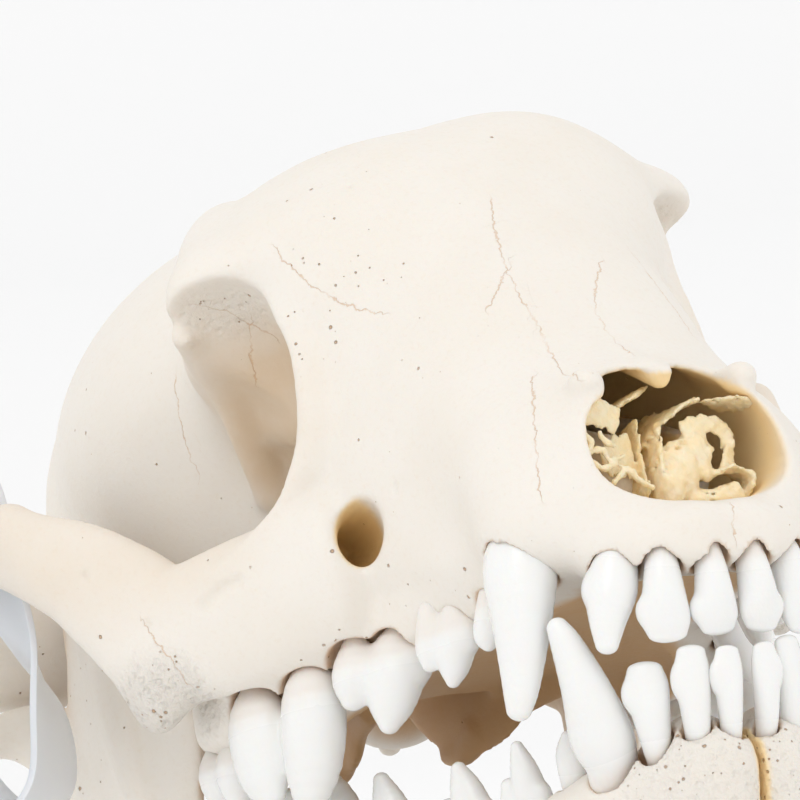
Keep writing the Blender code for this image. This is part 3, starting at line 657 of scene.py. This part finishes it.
def tooth_frame(gum, tip, facing):
    """The matrix that sets a tooth on its gum point, in the skull's frame."""
    up = (Vector(tip) - Vector(gum)).normalized()
    angle = math.radians(facing)
    outward = Vector((math.sin(angle), -math.cos(angle), 0))
    outward = (outward - up * outward.dot(up)).normalized()
    along = outward.cross(up)
    if along.y < 0:
        along = -along
    frame = Matrix((along, outward, up)).transposed().to_4x4()
    frame.translation = Vector(gum)
    return frame


# The tag band: middle line of the strap as x, y, z, and its turn in degrees.
# It starts at the top and runs down the outer side.

BAND_LINE = [
    (-71.2, 119, 43.0, 3),
    (-75.6, 119, 37.5, 3),
    (-76.2, 119, 28, 3),
    (-76.0, 119, 16, 0),
    (-75.0, 120, 4, -20),
    (-72.0, 120, -8, -38),
    (-66.0, 121, -13, -46),
    (-60.5, 121.5, -8, -46),
    (-59.8, 121, 3, -38),
    (-62.4, 120, 13, -12),
    (-65.4, 119, 22, 2),
    (-66.3, 119, 33, 3),
    (-67.8, 119, 40, 3),
]


# Detail that the solids don't have

# sutures and fine ridges, as points on the bone
SUTURES = {
    "nasal_right": [(-3.6, 50.5, 65.9), (-6.2, 45.1, 59.2), (-8.3, 39.9, 53.3), (-9.2, 34.9, 47.3),
                    (-9.5, 29.7, 40.6), (-11.2, 23.0, 34.3), (-14.8, 10.9, 29.4)],
    "nasal_branch": [(-9.6, 38.5, 51.5), (-11.8, 37.0, 48.9), (-13.9, 35.9, 46.4)],
    "nasal_middle": [(7.1, 38.5, 52.1), (1.8, 32.2, 45.2), (0.4, 27.3, 39.5), (-0.6, 19.5, 34.4)],
    "nasal_left": [(16.6, 44.7, 53.6), (16.5, 40.7, 49.7), (16.7, 37.5, 46.0), (17.6, 33.1, 39.7)],
    "frontal": [(-33.1, 67.4, 67.2), (-31.5, 63.2, 61.7), (-29.5, 60.5, 58.0), (-27.3, 57.8, 54.5),
                (-24.4, 52.1, 51.0)],
    "maxilla_front": [(-15.6, 22.6, 32.0), (-19.3, 16.8, 25.8), (-21.8, 13.3, 19.2), (-23.2, 11.3, 12.9)],
    "incisor_middle": [(0.8, -1.0, 6.6), (0.3, -1.6, 4.8), (0.0, -1.7, 2.6)],
    "brow": [(-40.5, 82.3, 62.9), (-36.9, 82.1, 61.5), (-34.0, 82.4, 59.7), (-31.4, 81.7, 58.2),
             (-29.1, 81.7, 56.2)],
    "orbit": [(-32.4, 82.3, 58.8), (-31.5, 85.3, 55.3), (-30.4, 87.9, 50.5)],
    "temple": [(-32.2, 114.9, 57.2), (-32.4, 114.9, 51.4), (-31.8, 115.4, 45.7), (-30.9, 115.5, 40.5)],
    "cheek": [(-57.5, 82.2, 12.4), (-56.5, 80.5, 8.9), (-55.3, 79.1, 5.8), (-53.6, 78.7, 2.7)],
}
# the infraorbital foramen again, for its colour
FORAMEN = [(35, 49, 17.8, 3.8, 5.6), (29.5, 61, 17, 3.5, 4.5), (28, 74, 17, 3, 3)]
# a narrow slit below the orbit, and single small holes
SLIT_RADIUS = 0.75
HOLE_RADIUS = 0.8
CHEEK_SLIT = [(-51.5, 74.1, 12.9), (-50.3, 72.5, 13.9), (-49.0, 70.6, 14.7), (-47.1, 68.3, 15.2)]
SMALL_HOLES = [(-57.3, 81.9, 12.3), (-63.2, 89.6, 22.2), (-29.6, 45.9, 21.7), (-20.8, 63.0, 74.2)]
# where small pits crowd together: middle, radii and how many of the dots show
PIT_GROUPS = [
    ((-27, 60, 59), (6, 8, 8), 0.3),
    ((-32.5, 63, 50), (4, 6, 9), 0.42),
    ((-30.5, 63, 63), (4, 5, 5), 0.4),
    ((-21, 53, 59), (6, 6, 6), 0.18),
    ((-38, 81, 62), (8, 6, 5), 0.35),
    ((-55, 82, 2), (7, 8, 7), 0.45),
    ((-30, 50, 2), (12, 22, 7), 0.2),
]

# thin bone in the nose: sheets seen edge on, plates seen flat, threads and lumps, with rows as for limb
NOSE_SHEETS = [
    [(-1.3, 17, 27.8, 0.35, 5), (-3.0, 19, 27.0, 0.35, 5), (-4.9, 22, 26.0, 0.3, 5)],
    [(7.4, 17, 26.1, 0.35, 6), (4.2, 18.5, 25.0, 0.35, 6), (1.3, 20, 23.2, 0.35, 6),
     (-0.6, 23, 21.3, 0.3, 6)],
    [(-3.3, 19, 22.9, 0.3, 3), (-3.8, 18, 18.9, 0.35, 3), (-4.3, 17, 14.8, 0.4, 3), (-4.6, 15, 11, 0.4, 3)],
    [(-0.7, 21, 20.3, 0.45, 6), (-2.2, 18, 15.4, 0.5, 6), (-2.6, 15, 10.5, 0.6, 5)],
    [(6.3, 14, 14.2, 0.4, 3), (9.8, 15, 15.2, 0.4, 3), (12.4, 15, 13.6, 0.4, 3), (11.6, 14, 11.1, 0.4, 3)],
    [(7.1, 13, 11.6, 0.35, 1.6), (9.2, 13.5, 12.5, 0.35, 1.6), (10.0, 13, 11.0, 0.35, 1.6)],
    [(10.4, 18, 25.3, 0.3, 4), (12.6, 15, 24.9, 0.3, 4), (14.6, 12, 24.4, 0.3, 4)],
]
NOSE_PLATES = [
    [(-14.6, 12.5, 24.0, 0.4, 1.4), (-10.5, 13, 23.9, 0.4, 2.4), (-7.6, 14, 22.9, 0.4, 2.2)],
    [(-10.4, 14, 16.4, 0.4, 2.0), (-8, 15, 17.8, 0.4, 3.2), (-5, 16, 18.2, 0.4, 3.6)],
    [(3.0, 14, 21.4, 0.5, 1.3), (6.2, 14, 22.0, 0.5, 1.5), (9.6, 14.5, 21.4, 0.5, 1.3),
     (10.4, 14.5, 18.4, 0.5, 1.2), (9.3, 14, 15.0, 0.6, 1.3)],
    [(5.0, 14.5, 20.4, 0.6, 1.2), (6.4, 14.5, 17.6, 0.6, 1.6), (5.6, 13.5, 14.2, 0.8, 1.4)],
]
NOSE_THREADS = [
    [(-15.9, 9.5, 20.6, 0.5), (-14.4, 10, 19.2, 0.5), (-15.3, 10, 17.8, 0.4), (-12.4, 11, 18.4, 0.55),
     (-11.4, 11, 16.7, 0.4), (-8.5, 12, 17.4, 0.35)],
    [(-15.2, 10, 16.6, 0.45), (-13.1, 10, 15.4, 0.55), (-10.3, 11, 16.1, 0.4), (-8.9, 11, 14.8, 0.4)],
    [(-11.5, 10.5, 13.3, 0.4), (-8.4, 11, 15.2, 0.45), (-7.1, 11, 13.4, 0.5), (-5.2, 11, 12.5, 0.5)],
    [(-12.5, 11, 21.0, 0.4), (-11.0, 11.5, 19.4, 0.5), (-9.5, 12, 19.0, 0.3)],
]
# middle and radii
NOSE_LUMPS = [
    ((1.6, 14.5, 15.2), (3.0, 3.0, 4.6)),
    ((-1.0, 13.5, 12.2), (2.0, 2.4, 3.2)),
    ((4.4, 14.5, 18.2), (2.0, 2.0, 3.0)),
    ((6.5, 13.5, 10.5), (5.0, 2.6, 1.6)),
]
NOSE_TEARS = 150
# where the real skull stands a little outside or inside the solids: middle, reach and millimetres outward
SWELLS = [
    ((5, 74, 82), (17, 13, 9), 2.0),
    ((-25, 73, 80), (8, 10, 8), -1.3),
    ((-40.5, 75.5, 61.5), (7, 8, 5), -3.8),
    ((40.5, 75.5, 61.5), (7, 8, 5), -2.5),
    ((46, 81, 65), (5, 5, 6), 2.2),
]


def swell(clay):
    """Moves the surface outward or inward round a few places, by distances that fade out smoothly."""
    for middle, reach, outward in SWELLS:
        fade = [np.exp(-((axis - at) / wide) ** 2) for axis, at, wide in zip(clay.lines(), middle, reach)]
        clay.field -= outward * fade[0] * fade[1] * fade[2]


def detailed_cranium(step):
    """Both halves of the cranium, with what is too fine or too uneven for the solids."""
    clay = cranium_clay(step).mirrored()
    swell(clay)
    clay.cut(limb([(*point, SLIT_RADIUS) for point in CHEEK_SLIT]), 0.6)
    for hole in SMALL_HOLES:
        clay.cut(egg(hole, (HOLE_RADIUS,) * 3), 0.4)
    return clay


def nose_clay(step):
    """The torn sheets, plates and threads of thin bone inside the nose."""
    clay = Clay((-19, 7, 5), (19, 32, 34), step)
    for rows in NOSE_SHEETS:
        clay.add(limb(rows, (0, 1, 0)), 0.5)
    for rows in NOSE_PLATES:
        clay.add(limb(rows, (0.05, 0, 1)), 0.5)
    for rows in NOSE_THREADS:
        clay.add(limb(rows), 0.6)
    for middle, radii in NOSE_LUMPS:
        clay.add(egg(middle, radii), 1.2)
    # torn and pierced
    chance = np.random.default_rng(7)
    for _ in range(NOSE_TEARS):
        middle = chance.uniform((-15, 9.5, 9), (13, 15, 24))
        clay.cut(egg(middle, chance.uniform(0.25, 0.85, 3)), 0.25)
    # ragged
    x, y, z = clay.lines()
    clay.field += 0.16 * np.sin(2.6 * x + 1.1 * np.sin(1.9 * z)) * np.sin(2.2 * z + 1.3 * np.sin(2.4 * y))
    clay.field += 0.07 * np.sin(6.1 * x + 2.0 * y) * np.sin(5.3 * z - 2.6 * y)
    return clay


# Meshes and their marks

def skull_to_world():
    """From the skull's frame in millimetres to metres on the table."""
    tipped = Matrix.Rotation(-PITCH, 4, "X")
    return Matrix.Scale(MM, 4) @ Matrix.Translation(TABLE_CENTER) @ tipped


def added(name, mesh):
    """A new object in the scene."""
    obj = bpy.data.objects.new(name, mesh)
    bpy.context.scene.collection.objects.link(obj)
    return obj


def thinned(name, points, faces, triangles):
    """A mesh in millimetres with at most so many triangles, most of them where the form bends."""
    mesh = bpy.data.meshes.new(name)
    mesh.from_pydata(points.tolist(), [], faces)
    obj = added(name, mesh)
    total = sum(len(face) - 2 for face in faces)
    if total > triangles:
        thin = obj.modifiers.new("thin", "DECIMATE")
        thin.ratio = triangles / total
        obj.data = bpy.data.meshes.new_from_object(obj.evaluated_get(bpy.context.evaluated_depsgraph_get()))
        obj.modifiers.clear()
        bpy.data.meshes.remove(mesh)
    return obj


def places(mesh):
    flat = np.empty(len(mesh.vertices) * 3)
    mesh.vertices.foreach_get("co", flat)
    return flat.reshape(-1, 3)


def move_points(mesh, points):
    mesh.vertices.foreach_set("co", points.ravel())
    mesh.update()


def mark(mesh, name, values):
    """Stores one number a vertex, which a material reads by its name."""
    mesh.attributes.new(name, "FLOAT", "POINT").data.foreach_set("value", values.astype(np.float32))


def to_table(obj, frame, upper):
    """From a piece's own millimetres through the skull's frame to its place on the table."""
    placed = placed_points(places(obj.data), frame, upper)
    world = np.array(skull_to_world())
    move_points(obj.data, placed @ world[:3, :3].T + world[:3, 3])
    if frame.to_3x3().determinant() < 0:
        obj.data.flip_normals()
    obj.data.shade_smooth()


def stand_in(obj, node, finish):
    """The piece takes the place of a solid."""
    obj.data.materials.clear()
    obj.data.materials.append(finish)
    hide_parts(node)
    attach(obj, "root")


def form_depth(form, points):
    """How far each point is inside a form, in millimetres, and less than zero outside."""
    return -form[1](points[:, 0], points[:, 1], points[:, 2])


def suture_distance(path, points, normals):
    """The signed distance to a line on the surface: its sign tells the side, so it runs through zero."""
    path = smooth_path(path, 5)
    best = np.full(len(points), np.inf)
    signed = np.empty(len(points))
    for start, end in zip(path[:-1], path[1:]):
        way = end - start
        along = np.clip((points - start) @ way / (way @ way), 0, 1)
        offset = points - start - along[:, None] * way
        gap = np.linalg.norm(offset, axis=1)
        side = np.einsum("ij,ij->i", np.cross(way / np.linalg.norm(way), normals), offset)
        nearer = gap < best
        best[nearer] = gap[nearer]
        signed[nearer] = np.where(side[nearer] < 0, -gap[nearer], gap[nearer])
    return signed


def vertex_normals(mesh):
    flat = np.empty(len(mesh.vertices) * 3, np.float32)
    mesh.vertex_normals.foreach_get("vector", flat)
    return flat.reshape(-1, 3)


# Materials

class Graph:
    """Short hand for a material's node tree."""

    def __init__(self, name):
        self.material = bpy.data.materials.new(name)
        self.material.use_nodes = True
        self.tree = self.material.node_tree
        self.shader = self.tree.nodes["Principled BSDF"]

    def node(self, kind, settings=None, **inputs):
        new = self.tree.nodes.new(kind)
        for key, value in (settings or {}).items():
            setattr(new, key, value)
        for key, value in inputs.items():
            self.feed(new.inputs[key.replace("_", " ")], value)
        return new

    def feed(self, socket, value):
        if isinstance(value, bpy.types.NodeSocket):
            self.tree.links.new(value, socket)
        else:
            socket.default_value = value

    def math(self, operation, a, b=0.0, clamp=False):
        new = self.tree.nodes.new("ShaderNodeMath")
        new.operation = operation
        new.use_clamp = clamp
        self.feed(new.inputs[0], a)
        self.feed(new.inputs[1], b)
        return new.outputs[0]

    def mark(self, name):
        return self.node("ShaderNodeAttribute", {"attribute_name": name}).outputs["Fac"]

    def times(self, a, b):
        return self.math("MULTIPLY", a, b)

    def plus(self, a, b):
        return self.math("ADD", a, b)

    def place(self):
        """Object coordinates in millimetres."""
        spot = self.node("ShaderNodeTexCoord").outputs["Object"]
        new = self.node("ShaderNodeVectorMath", {"operation": "SCALE"})
        self.feed(new.inputs[0], spot)
        self.feed(new.inputs["Scale"], 1 / MM)
        return new.outputs[0]

    def noise(self, size, detail=3.0, rough=0.5):
        """Noise from 0 to 1 with spots of about this size in millimetres."""
        settings = {"Scale": 1 / size, "Detail": detail, "Roughness": rough}
        return self.node("ShaderNodeTexNoise", Vector=self.place(), **settings).outputs["Fac"]

    def dots(self, size, salt=0.0):
        """Distance to points scattered about this far apart, as a share of it, and each one's random number."""
        moved = self.node("ShaderNodeVectorMath", {"operation": "ADD"})
        self.feed(moved.inputs[0], self.place())
        moved.inputs[1].default_value = (salt, salt, salt)
        new = self.node("ShaderNodeTexVoronoi", Vector=moved.outputs[0], Scale=1 / size)
        shade = self.node("ShaderNodeSeparateColor", Color=new.outputs["Color"])
        return new.outputs["Distance"], shade.outputs[0]

    def ramp(self, value, low, high, start=0.0, end=1.0):
        """Runs smoothly from start to end as value goes from low to high."""
        new = self.node("ShaderNodeMapRange", {"interpolation_type": "SMOOTHSTEP"}, Value=value)
        new.inputs["From Min"].default_value = low
        new.inputs["From Max"].default_value = high
        new.inputs["To Min"].default_value = start
        new.inputs["To Max"].default_value = end
        return new.outputs[0]

    def mix(self, share, a, b):
        new = self.tree.nodes.new("ShaderNodeMix")
        new.data_type = "RGBA"
        self.feed(new.inputs[0], share)
        self.feed(new.inputs[6], a)
        self.feed(new.inputs[7], b)
        return new.outputs[2]

    def relief(self, height, depth_mm):
        new = self.node("ShaderNodeBump", Height=height, Strength=1.0)
        new.inputs["Distance"].default_value = depth_mm * MM
        self.feed(self.shader.inputs["Normal"], new.outputs[0])

    def finish(self, color, roughness, subsurface=0.0):
        self.feed(self.shader.inputs["Base Color"], color)
        self.feed(self.shader.inputs["Roughness"], roughness)
        self.shader.inputs["Subsurface Weight"].default_value = subsurface
        self.shader.inputs["Subsurface Radius"].default_value = SPREAD
        self.shader.inputs["Subsurface Scale"].default_value = SPREAD_SCALE
        return self.material


def thin_line(graph, signed, half_width, wiggle):
    """A wavy line where a signed distance, in millimetres, runs through zero."""
    moved = graph.plus(signed, wiggle)
    return graph.ramp(graph.math("ABSOLUTE", moved), half_width * 0.4, half_width * 1.6, 1.0, 0.0)


def bone_material(name, sutures):
    """Dry cleaned bone: chalky, faintly blotched, orange-brown in its sutures and orange in the nose, with
    painted shade in its pores, the orbit and the mouth.
    """
    g = Graph(name)
    blotch = g.ramp(g.noise(16, 4), 0.35, 0.7)
    color = g.mix(g.times(blotch, 0.3), BONE, BONE_SHADE)
    grain = g.noise(0.9, 4, 0.65)
    color = g.mix(g.times(g.ramp(grain, 0.5, 0.75), 0.1), color, TAN)
    uneven = g.ramp(g.noise(7, 3), 0.15, 0.7, 0.7, 1.0)
    # painted shade: tan in the orbit and on the inner side of the lower jaw
    color = g.mix(g.times(g.times(g.mark("hollow"), uneven), 0.8), color, TAN)
    # painted shade: brown, patched with tan, in the roof of the mouth, the throat and on the inner side of the
    # lower jaw
    color = g.mix(g.mark("painted_mouth_shade"), color, g.mix(g.ramp(g.noise(9, 3), 0.3, 0.7, 0.0, 0.25), PAINTED_MOUTH_SHADE, TAN))
    color = g.mix(g.mark("nose"), color, ORANGE)
    wiggle = g.times(g.math("SUBTRACT", g.noise(1.6, 3, 0.6), 0.5), 2.0)
    broken = g.ramp(g.noise(5, 2), 0.3, 0.55)
    seam = None
    for index in range(sutures):
        line = thin_line(g, g.mark(f"suture_{index}"), 0.11, wiggle)
        seam = line if seam is None else g.math("MAXIMUM", seam, line)
    gum = g.times(g.mark("gum"), g.ramp(g.noise(2.5, 3), 0.2, 0.6, 0.4, 1.0))
    color = g.mix(g.times(gum, 0.7), color, SEAM)
    height = g.times(grain, 0.2)
    for apart, largest, salt in ((1.5, 0.22, 0.0), (0.95, 0.2, 3.0)):
        pits, chance = g.dots(apart, salt)
        bent = g.plus(pits, g.times(g.math("SUBTRACT", g.noise(0.7, 2), 0.5), 0.22))
        size = g.ramp(g.math("FRACT", g.times(chance, 7.3)), 0.0, 1.0, 0.04, largest)
        kept = g.math("GREATER_THAN", g.plus(g.mark("pitted"), chance), 1.0)
        pit = g.times(g.ramp(g.math("DIVIDE", bent, size), 0.5, 1.2, 1.0, 0.0), kept)
        # painted shade darkens each pit
        color = g.mix(g.times(pit, 0.7), color, PAINTED_PIT_SHADE)
        height = g.math("SUBTRACT", height, g.times(pit, 1.2))
    if seam is not None:
        shown = g.times(g.mark("seamed"), g.plus(g.times(broken, 0.6), 0.15))
        seam = g.times(seam, shown)
        color = g.mix(g.times(seam, 0.65), color, SEAM)
        height = g.math("SUBTRACT", height, g.times(seam, 0.25))
    rough = g.dots(1.5, 5.0)[0]
    spongy = g.times(g.mark("spongy"), g.ramp(rough, 0.05, 0.6))
    coarse = g.times(g.mark("spongy"), g.noise(1.1, 4, 0.7))
    height = g.plus(height, g.plus(g.times(spongy, 1.3), g.times(coarse, 2.4)))
    g.relief(height, 0.35)
    return g.finish(color, g.ramp(grain, 0.2, 0.8, 0.5, 0.68), 0.1)


def nose_material():
    """The thin bone in the nose: pale at the front edges, deep orange further in."""
    g = Graph("bone_nose")
    patch = g.ramp(g.noise(2.2, 4, 0.6), 0.35, 0.65, 0.0, 0.5)
    color = g.mix(g.math("ADD", patch, g.mark("nose"), clamp=True), NOSE_BONE, ORANGE)
    g.relief(g.noise(0.6, 4, 0.65), 0.2)
    return g.finish(color, 0.5, 0.3)


def enamel_material(name):
    """Tooth enamel, smooth and almost white, yellower and duller at the neck."""
    g = Graph(name)
    cloud = g.noise(3.5, 3)
    color = g.mix(g.times(g.ramp(cloud, 0.4, 0.75), 0.1), ENAMEL, DENTINE)
    color = g.mix(g.times(g.mark("neck"), 0.1), color, DENTINE)
    color = g.mix(g.times(g.mark("rim"), 0.12), color, SEAM)
    g.relief(g.noise(0.8, 3), 0.05)
    return g.finish(color, g.ramp(g.mark("neck"), 0.0, 1.0, 0.24, 0.5), 0.2)


def plastic_material():
    """Moulded white plastic, faintly uneven."""
    g = Graph("band_plastic")
    g.relief(g.noise(2.0, 2), 0.04)
    return g.finish(PLASTIC, 0.3, 0.1)


# Pieces

def cranium_piece():
    points, faces = detailed_cranium(CRANIUM_STEP).surface()
    obj = thinned("skull_cranium", points, faces, CRANIUM_TRIANGLES)
    here = places(obj.data)
    normals = vertex_normals(obj.data)
    half = here.copy()
    half[:, 0] = np.abs(half[:, 0])
    beside = np.full(len(here), FAR)
    for index, path in enumerate(SUTURES.values()):
        signed = suture_distance(path, here, normals)
        beside = np.minimum(beside, np.abs(signed))
        mark(obj.data, f"suture_{index}", signed)
    mark(obj.data, "seamed", 1 - eased(beside, 1.2, 2.4))
    for name, values in bone_marks(here, half, normals).items():
        mark(obj.data, name, values)
    to_table(obj, Matrix.Identity(4), True)
    stand_in(obj, "cranium", bone_material("bone_cranium", len(SUTURES)))


def bone_marks(here, half, normals):
    """Where the cranium is coloured or rough. The points in half are those of here, all on the left."""
    inward = -(normals[:, 0] * here[:, 0] + normals[:, 2] * (here[:, 2] - 19))
    nose = eased(form_depth(hull_form(NOSE_HOLLOW), half), -0.7, 0.1) * eased(inward, 0, 2)
    nose *= eased(half[:, 1], 3, 13)
    foramen = eased(form_depth(limb(FORAMEN), half), -0.5, 0.1) * eased(half[:, 1] + 0.8 * half[:, 0], 78, 82)
    orbit = form_depth(egg((52, 86, 38), (44, 34, 30)), half)
    shut_in = eased(form_depth(egg((26, 84, 36), (17, 24, 26)), half), -4, 9) * eased(orbit, 0, 6)
    roof = eased(form_depth(hull_form(PALATE_HOLLOW), half), -3.5, -1) * eased(half[:, 1], 8, 18)
    throat = eased(form_depth(egg((0, 125, -6), (34, 34, 22)), half), -2, 6)
    brow = eased(form_depth(egg((39, 80, 60), (9, 7, 6)), half), -1, 3) * eased(-normals[:, 2], -0.1, 0.3)
    knob = eased(form_depth(egg((54, 86, 0), (9, 11, 11)), half), -2, 4)
    pitted = np.full(len(here), 0.045)
    for middle, radii, share in PIT_GROUPS:
        pitted = np.maximum(pitted, share * eased(form_depth(egg(middle, radii), here), -3, 5))
    return {
        "nose": np.maximum(nose, foramen),
        # painted shade in the orbit
        "hollow": np.clip(0.32 * eased(orbit, 0, 12) + 0.6 * shut_in, 0, 1),
        # painted shade in the roof of the mouth and the throat
        "painted_mouth_shade": np.maximum(roof, throat),
        "gum": gum_marks(UPPER_TEETH, half),
        "pitted": pitted,
        "spongy": np.maximum(0.55 * brow, knob),
    }


def nose_piece():
    points, faces = nose_clay(SCROLL_STEP).surface()
    obj = thinned("nose_bones", points, faces, SCROLL_TRIANGLES)
    mark(obj.data, "nose", eased(places(obj.data)[:, 1], 12, 20))
    to_table(obj, Matrix.Identity(4), True)
    obj.data.materials.append(nose_material())
    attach(obj, "root")


def gum_marks(teeth, points):
    """Close to 1 on the edge of bone round each tooth's neck."""
    least = np.full(len(points), 9.0)
    for form in collar_forms(teeth):
        near = ((points > form[0][0] - 3) & (points < form[0][1] + 3)).all(axis=1)
        spot = points[near]
        least[near] = np.minimum(least[near], form[1](spot[:, 0], spot[:, 1], spot[:, 2]))
    return 1 - eased(least, 0.0, 0.55)


def jaw_pieces():
    points, faces = jaw_clay(JAW_STEP).surface()
    source = thinned("jaw", points, faces, JAW_TRIANGLES)
    base = places(source.data)
    inside = eased(-base[:, 0] + 0.33 * base[:, 1], -4, 3) * eased(base[:, 1], 8, 24)
    chin = eased(form_depth(egg((6, 6, -33), (16, 10, 14)), base), -2, 4)
    # painted shade on the inner side of the jaw, which faces the mouth
    mark(source.data, "hollow", 0.5 * inside)
    mark(source.data, "painted_mouth_shade", 0.4 * inside)
    mark(source.data, "nose", 0.9 * (1 - eased(base[:, 0], 0.7, 1.2)) * eased(-base[:, 1], -14, -8))
    mark(source.data, "gum", gum_marks(LOWER_TEETH, base))
    mark(source.data, "pitted", 0.08 + 0.4 * chin)
    mark(source.data, "spongy", 0.5 * chin)
    finish = bone_material("bone_jaw", 0)
    for side, sign in (("left", 1), ("right", -1)):
        obj = added(f"skull_mandible_{side}", source.data.copy())
        to_table(obj, Matrix.Scale(sign, 4, (1, 0, 0)), False)
        flatten(obj)
        stand_in(obj, f"mandible_{side}", finish)
    bpy.data.objects.remove(source)


def flatten(obj):
    """The lower border, flat where it stands on the table."""
    here = places(obj.data)
    here[:, 2] = np.maximum(here[:, 2], 0)
    move_points(obj.data, here)


def tooth_pieces():
    finish = enamel_material("enamel")
    for jaw, table in (("upper", UPPER_TEETH), ("lower", LOWER_TEETH)):
        for name, (gum, tip, facing, kind, width) in table.items():
            height = (Vector(tip) - Vector(gum)).length
            points, faces = tooth_clay(kind, width, height, TOOTH_STEP).surface()
            source = thinned(name, points, faces, TOOTH_TRIANGLES)
            along = places(source.data)[:, 2]
            mark(source.data, "neck", 1 - eased(along, -0.5, 2.2))
            mark(source.data, "rim", 1 - eased(along, -1.2, 0.4))
            for side, sign in (("left", 1), ("right", -1)):
                obj = added(f"tooth_{jaw}_{side}_{name}", source.data.copy())
                frame_here = Matrix.Scale(sign, 4, (1, 0, 0)) @ tooth_frame(gum, tip, facing)
                to_table(obj, frame_here, jaw == "upper")
                stand_in(obj, f"{jaw}_{side}_{name}", finish)
            bpy.data.objects.remove(source)


def band_piece():
    """The plastic strap: a closed ribbon with rounded edges."""
    points = []
    for x, y, z, turn in smooth_path(BAND_LINE, 8, closed=True):
        angle = math.radians(turn)
        lean = np.array((math.sin(angle), -math.cos(angle), 0.0))
        points += [np.array((x, y, z)) - lean * BAND_WIDTH / 2, np.array((x, y, z)) + lean * BAND_WIDTH / 2]
    world = np.array(skull_to_world())
    count = len(points)
    faces = [(i, (i + 2) % count, (i + 3) % count, i + 1) for i in range(0, count, 2)]
    mesh = bpy.data.meshes.new("band")
    mesh.from_pydata((np.array(points) @ world[:3, :3].T + world[:3, 3]).tolist(), [], faces)
    obj = added("band", mesh)
    thick = obj.modifiers.new("thick", "SOLIDIFY")
    thick.thickness = BAND_THICKNESS * MM
    thick.offset = 0
    soft = obj.modifiers.new("soft", "BEVEL")
    soft.width = BAND_EDGE * MM
    soft.segments = 2
    mesh.shade_smooth()
    stand_in(obj, "tag_band", plastic_material())


# Room, light and camera

def room():
    """A white sweep: the floor runs up behind the skull with no edge."""
    profile = [(-3.0, 0.0), (1.2, 0.0), (1.7, 0.06), (2.1, 0.25), (2.4, 0.7), (2.5, 1.4), (2.5, 4.0)]
    verts = []
    for y, z in profile:
        verts += [(-5, y, z), (5, y, z)]
    faces = [(i, i + 1, i + 3, i + 2) for i in range(0, len(verts) - 2, 2)]
    mesh = bpy.data.meshes.new("floor")
    mesh.from_pydata(verts, [], faces)
    floor = added("floor", mesh)
    floor.rotation_euler.z = math.radians(CAMERA_YAW)
    mesh.shade_smooth()
    g = Graph("floor_paper")
    mesh.materials.append(g.finish(FLOOR, 0.9))


def lights():
    world = bpy.data.worlds.new("studio")
    bpy.context.scene.world = world
    world.use_nodes = True
    world.node_tree.nodes["Background"].inputs["Color"].default_value = (1, 1, 1, 1)
    world.node_tree.nodes["Background"].inputs["Strength"].default_value = 1.0
    for name, place, size, power in LAMPS:
        data = bpy.data.lights.new(name, "AREA")
        data.size = size
        data.energy = power
        lamp = added(name, data)
        lamp.location = place
        lamp.rotation_euler = (LIT_PLACE - Vector(place)).to_track_quat("-Z", "Y").to_euler()


def camera():
    """The photograph's camera, close to the skull and turned a little about its own line of sight."""
    yaw, pitch, roll = (math.radians(a) for a in (CAMERA_YAW, CAMERA_PITCH, CAMERA_ROLL))
    back = Vector((math.sin(yaw) * math.cos(pitch), -math.cos(yaw) * math.cos(pitch), math.sin(pitch)))
    level = Vector((math.cos(yaw), math.sin(yaw), 0))
    lift = back.cross(level)
    right = math.cos(roll) * level + math.sin(roll) * lift
    up = -math.sin(roll) * level + math.cos(roll) * lift
    place = Vector(CAMERA_TARGET) + CAMERA_DISTANCE * back
    turn = Matrix((right, up, back)).transposed().to_4x4()
    tipped = Matrix.Rotation(-PITCH, 4, "X")
    data = bpy.data.cameras.new("camera")
    data.lens = CAMERA_LENS
    data.sensor_width = CAMERA_SENSOR
    data.clip_end = 50
    view = added("camera", data)
    view.matrix_world = Matrix.Translation(skull_to_world() @ place) @ tipped @ turn
    bpy.context.scene.camera = view


cranium_piece()
nose_piece()
jaw_pieces()
tooth_pieces()
band_piece()
room()
lights()
camera()
bpy.context.scene.view_settings.view_transform = "Standard"
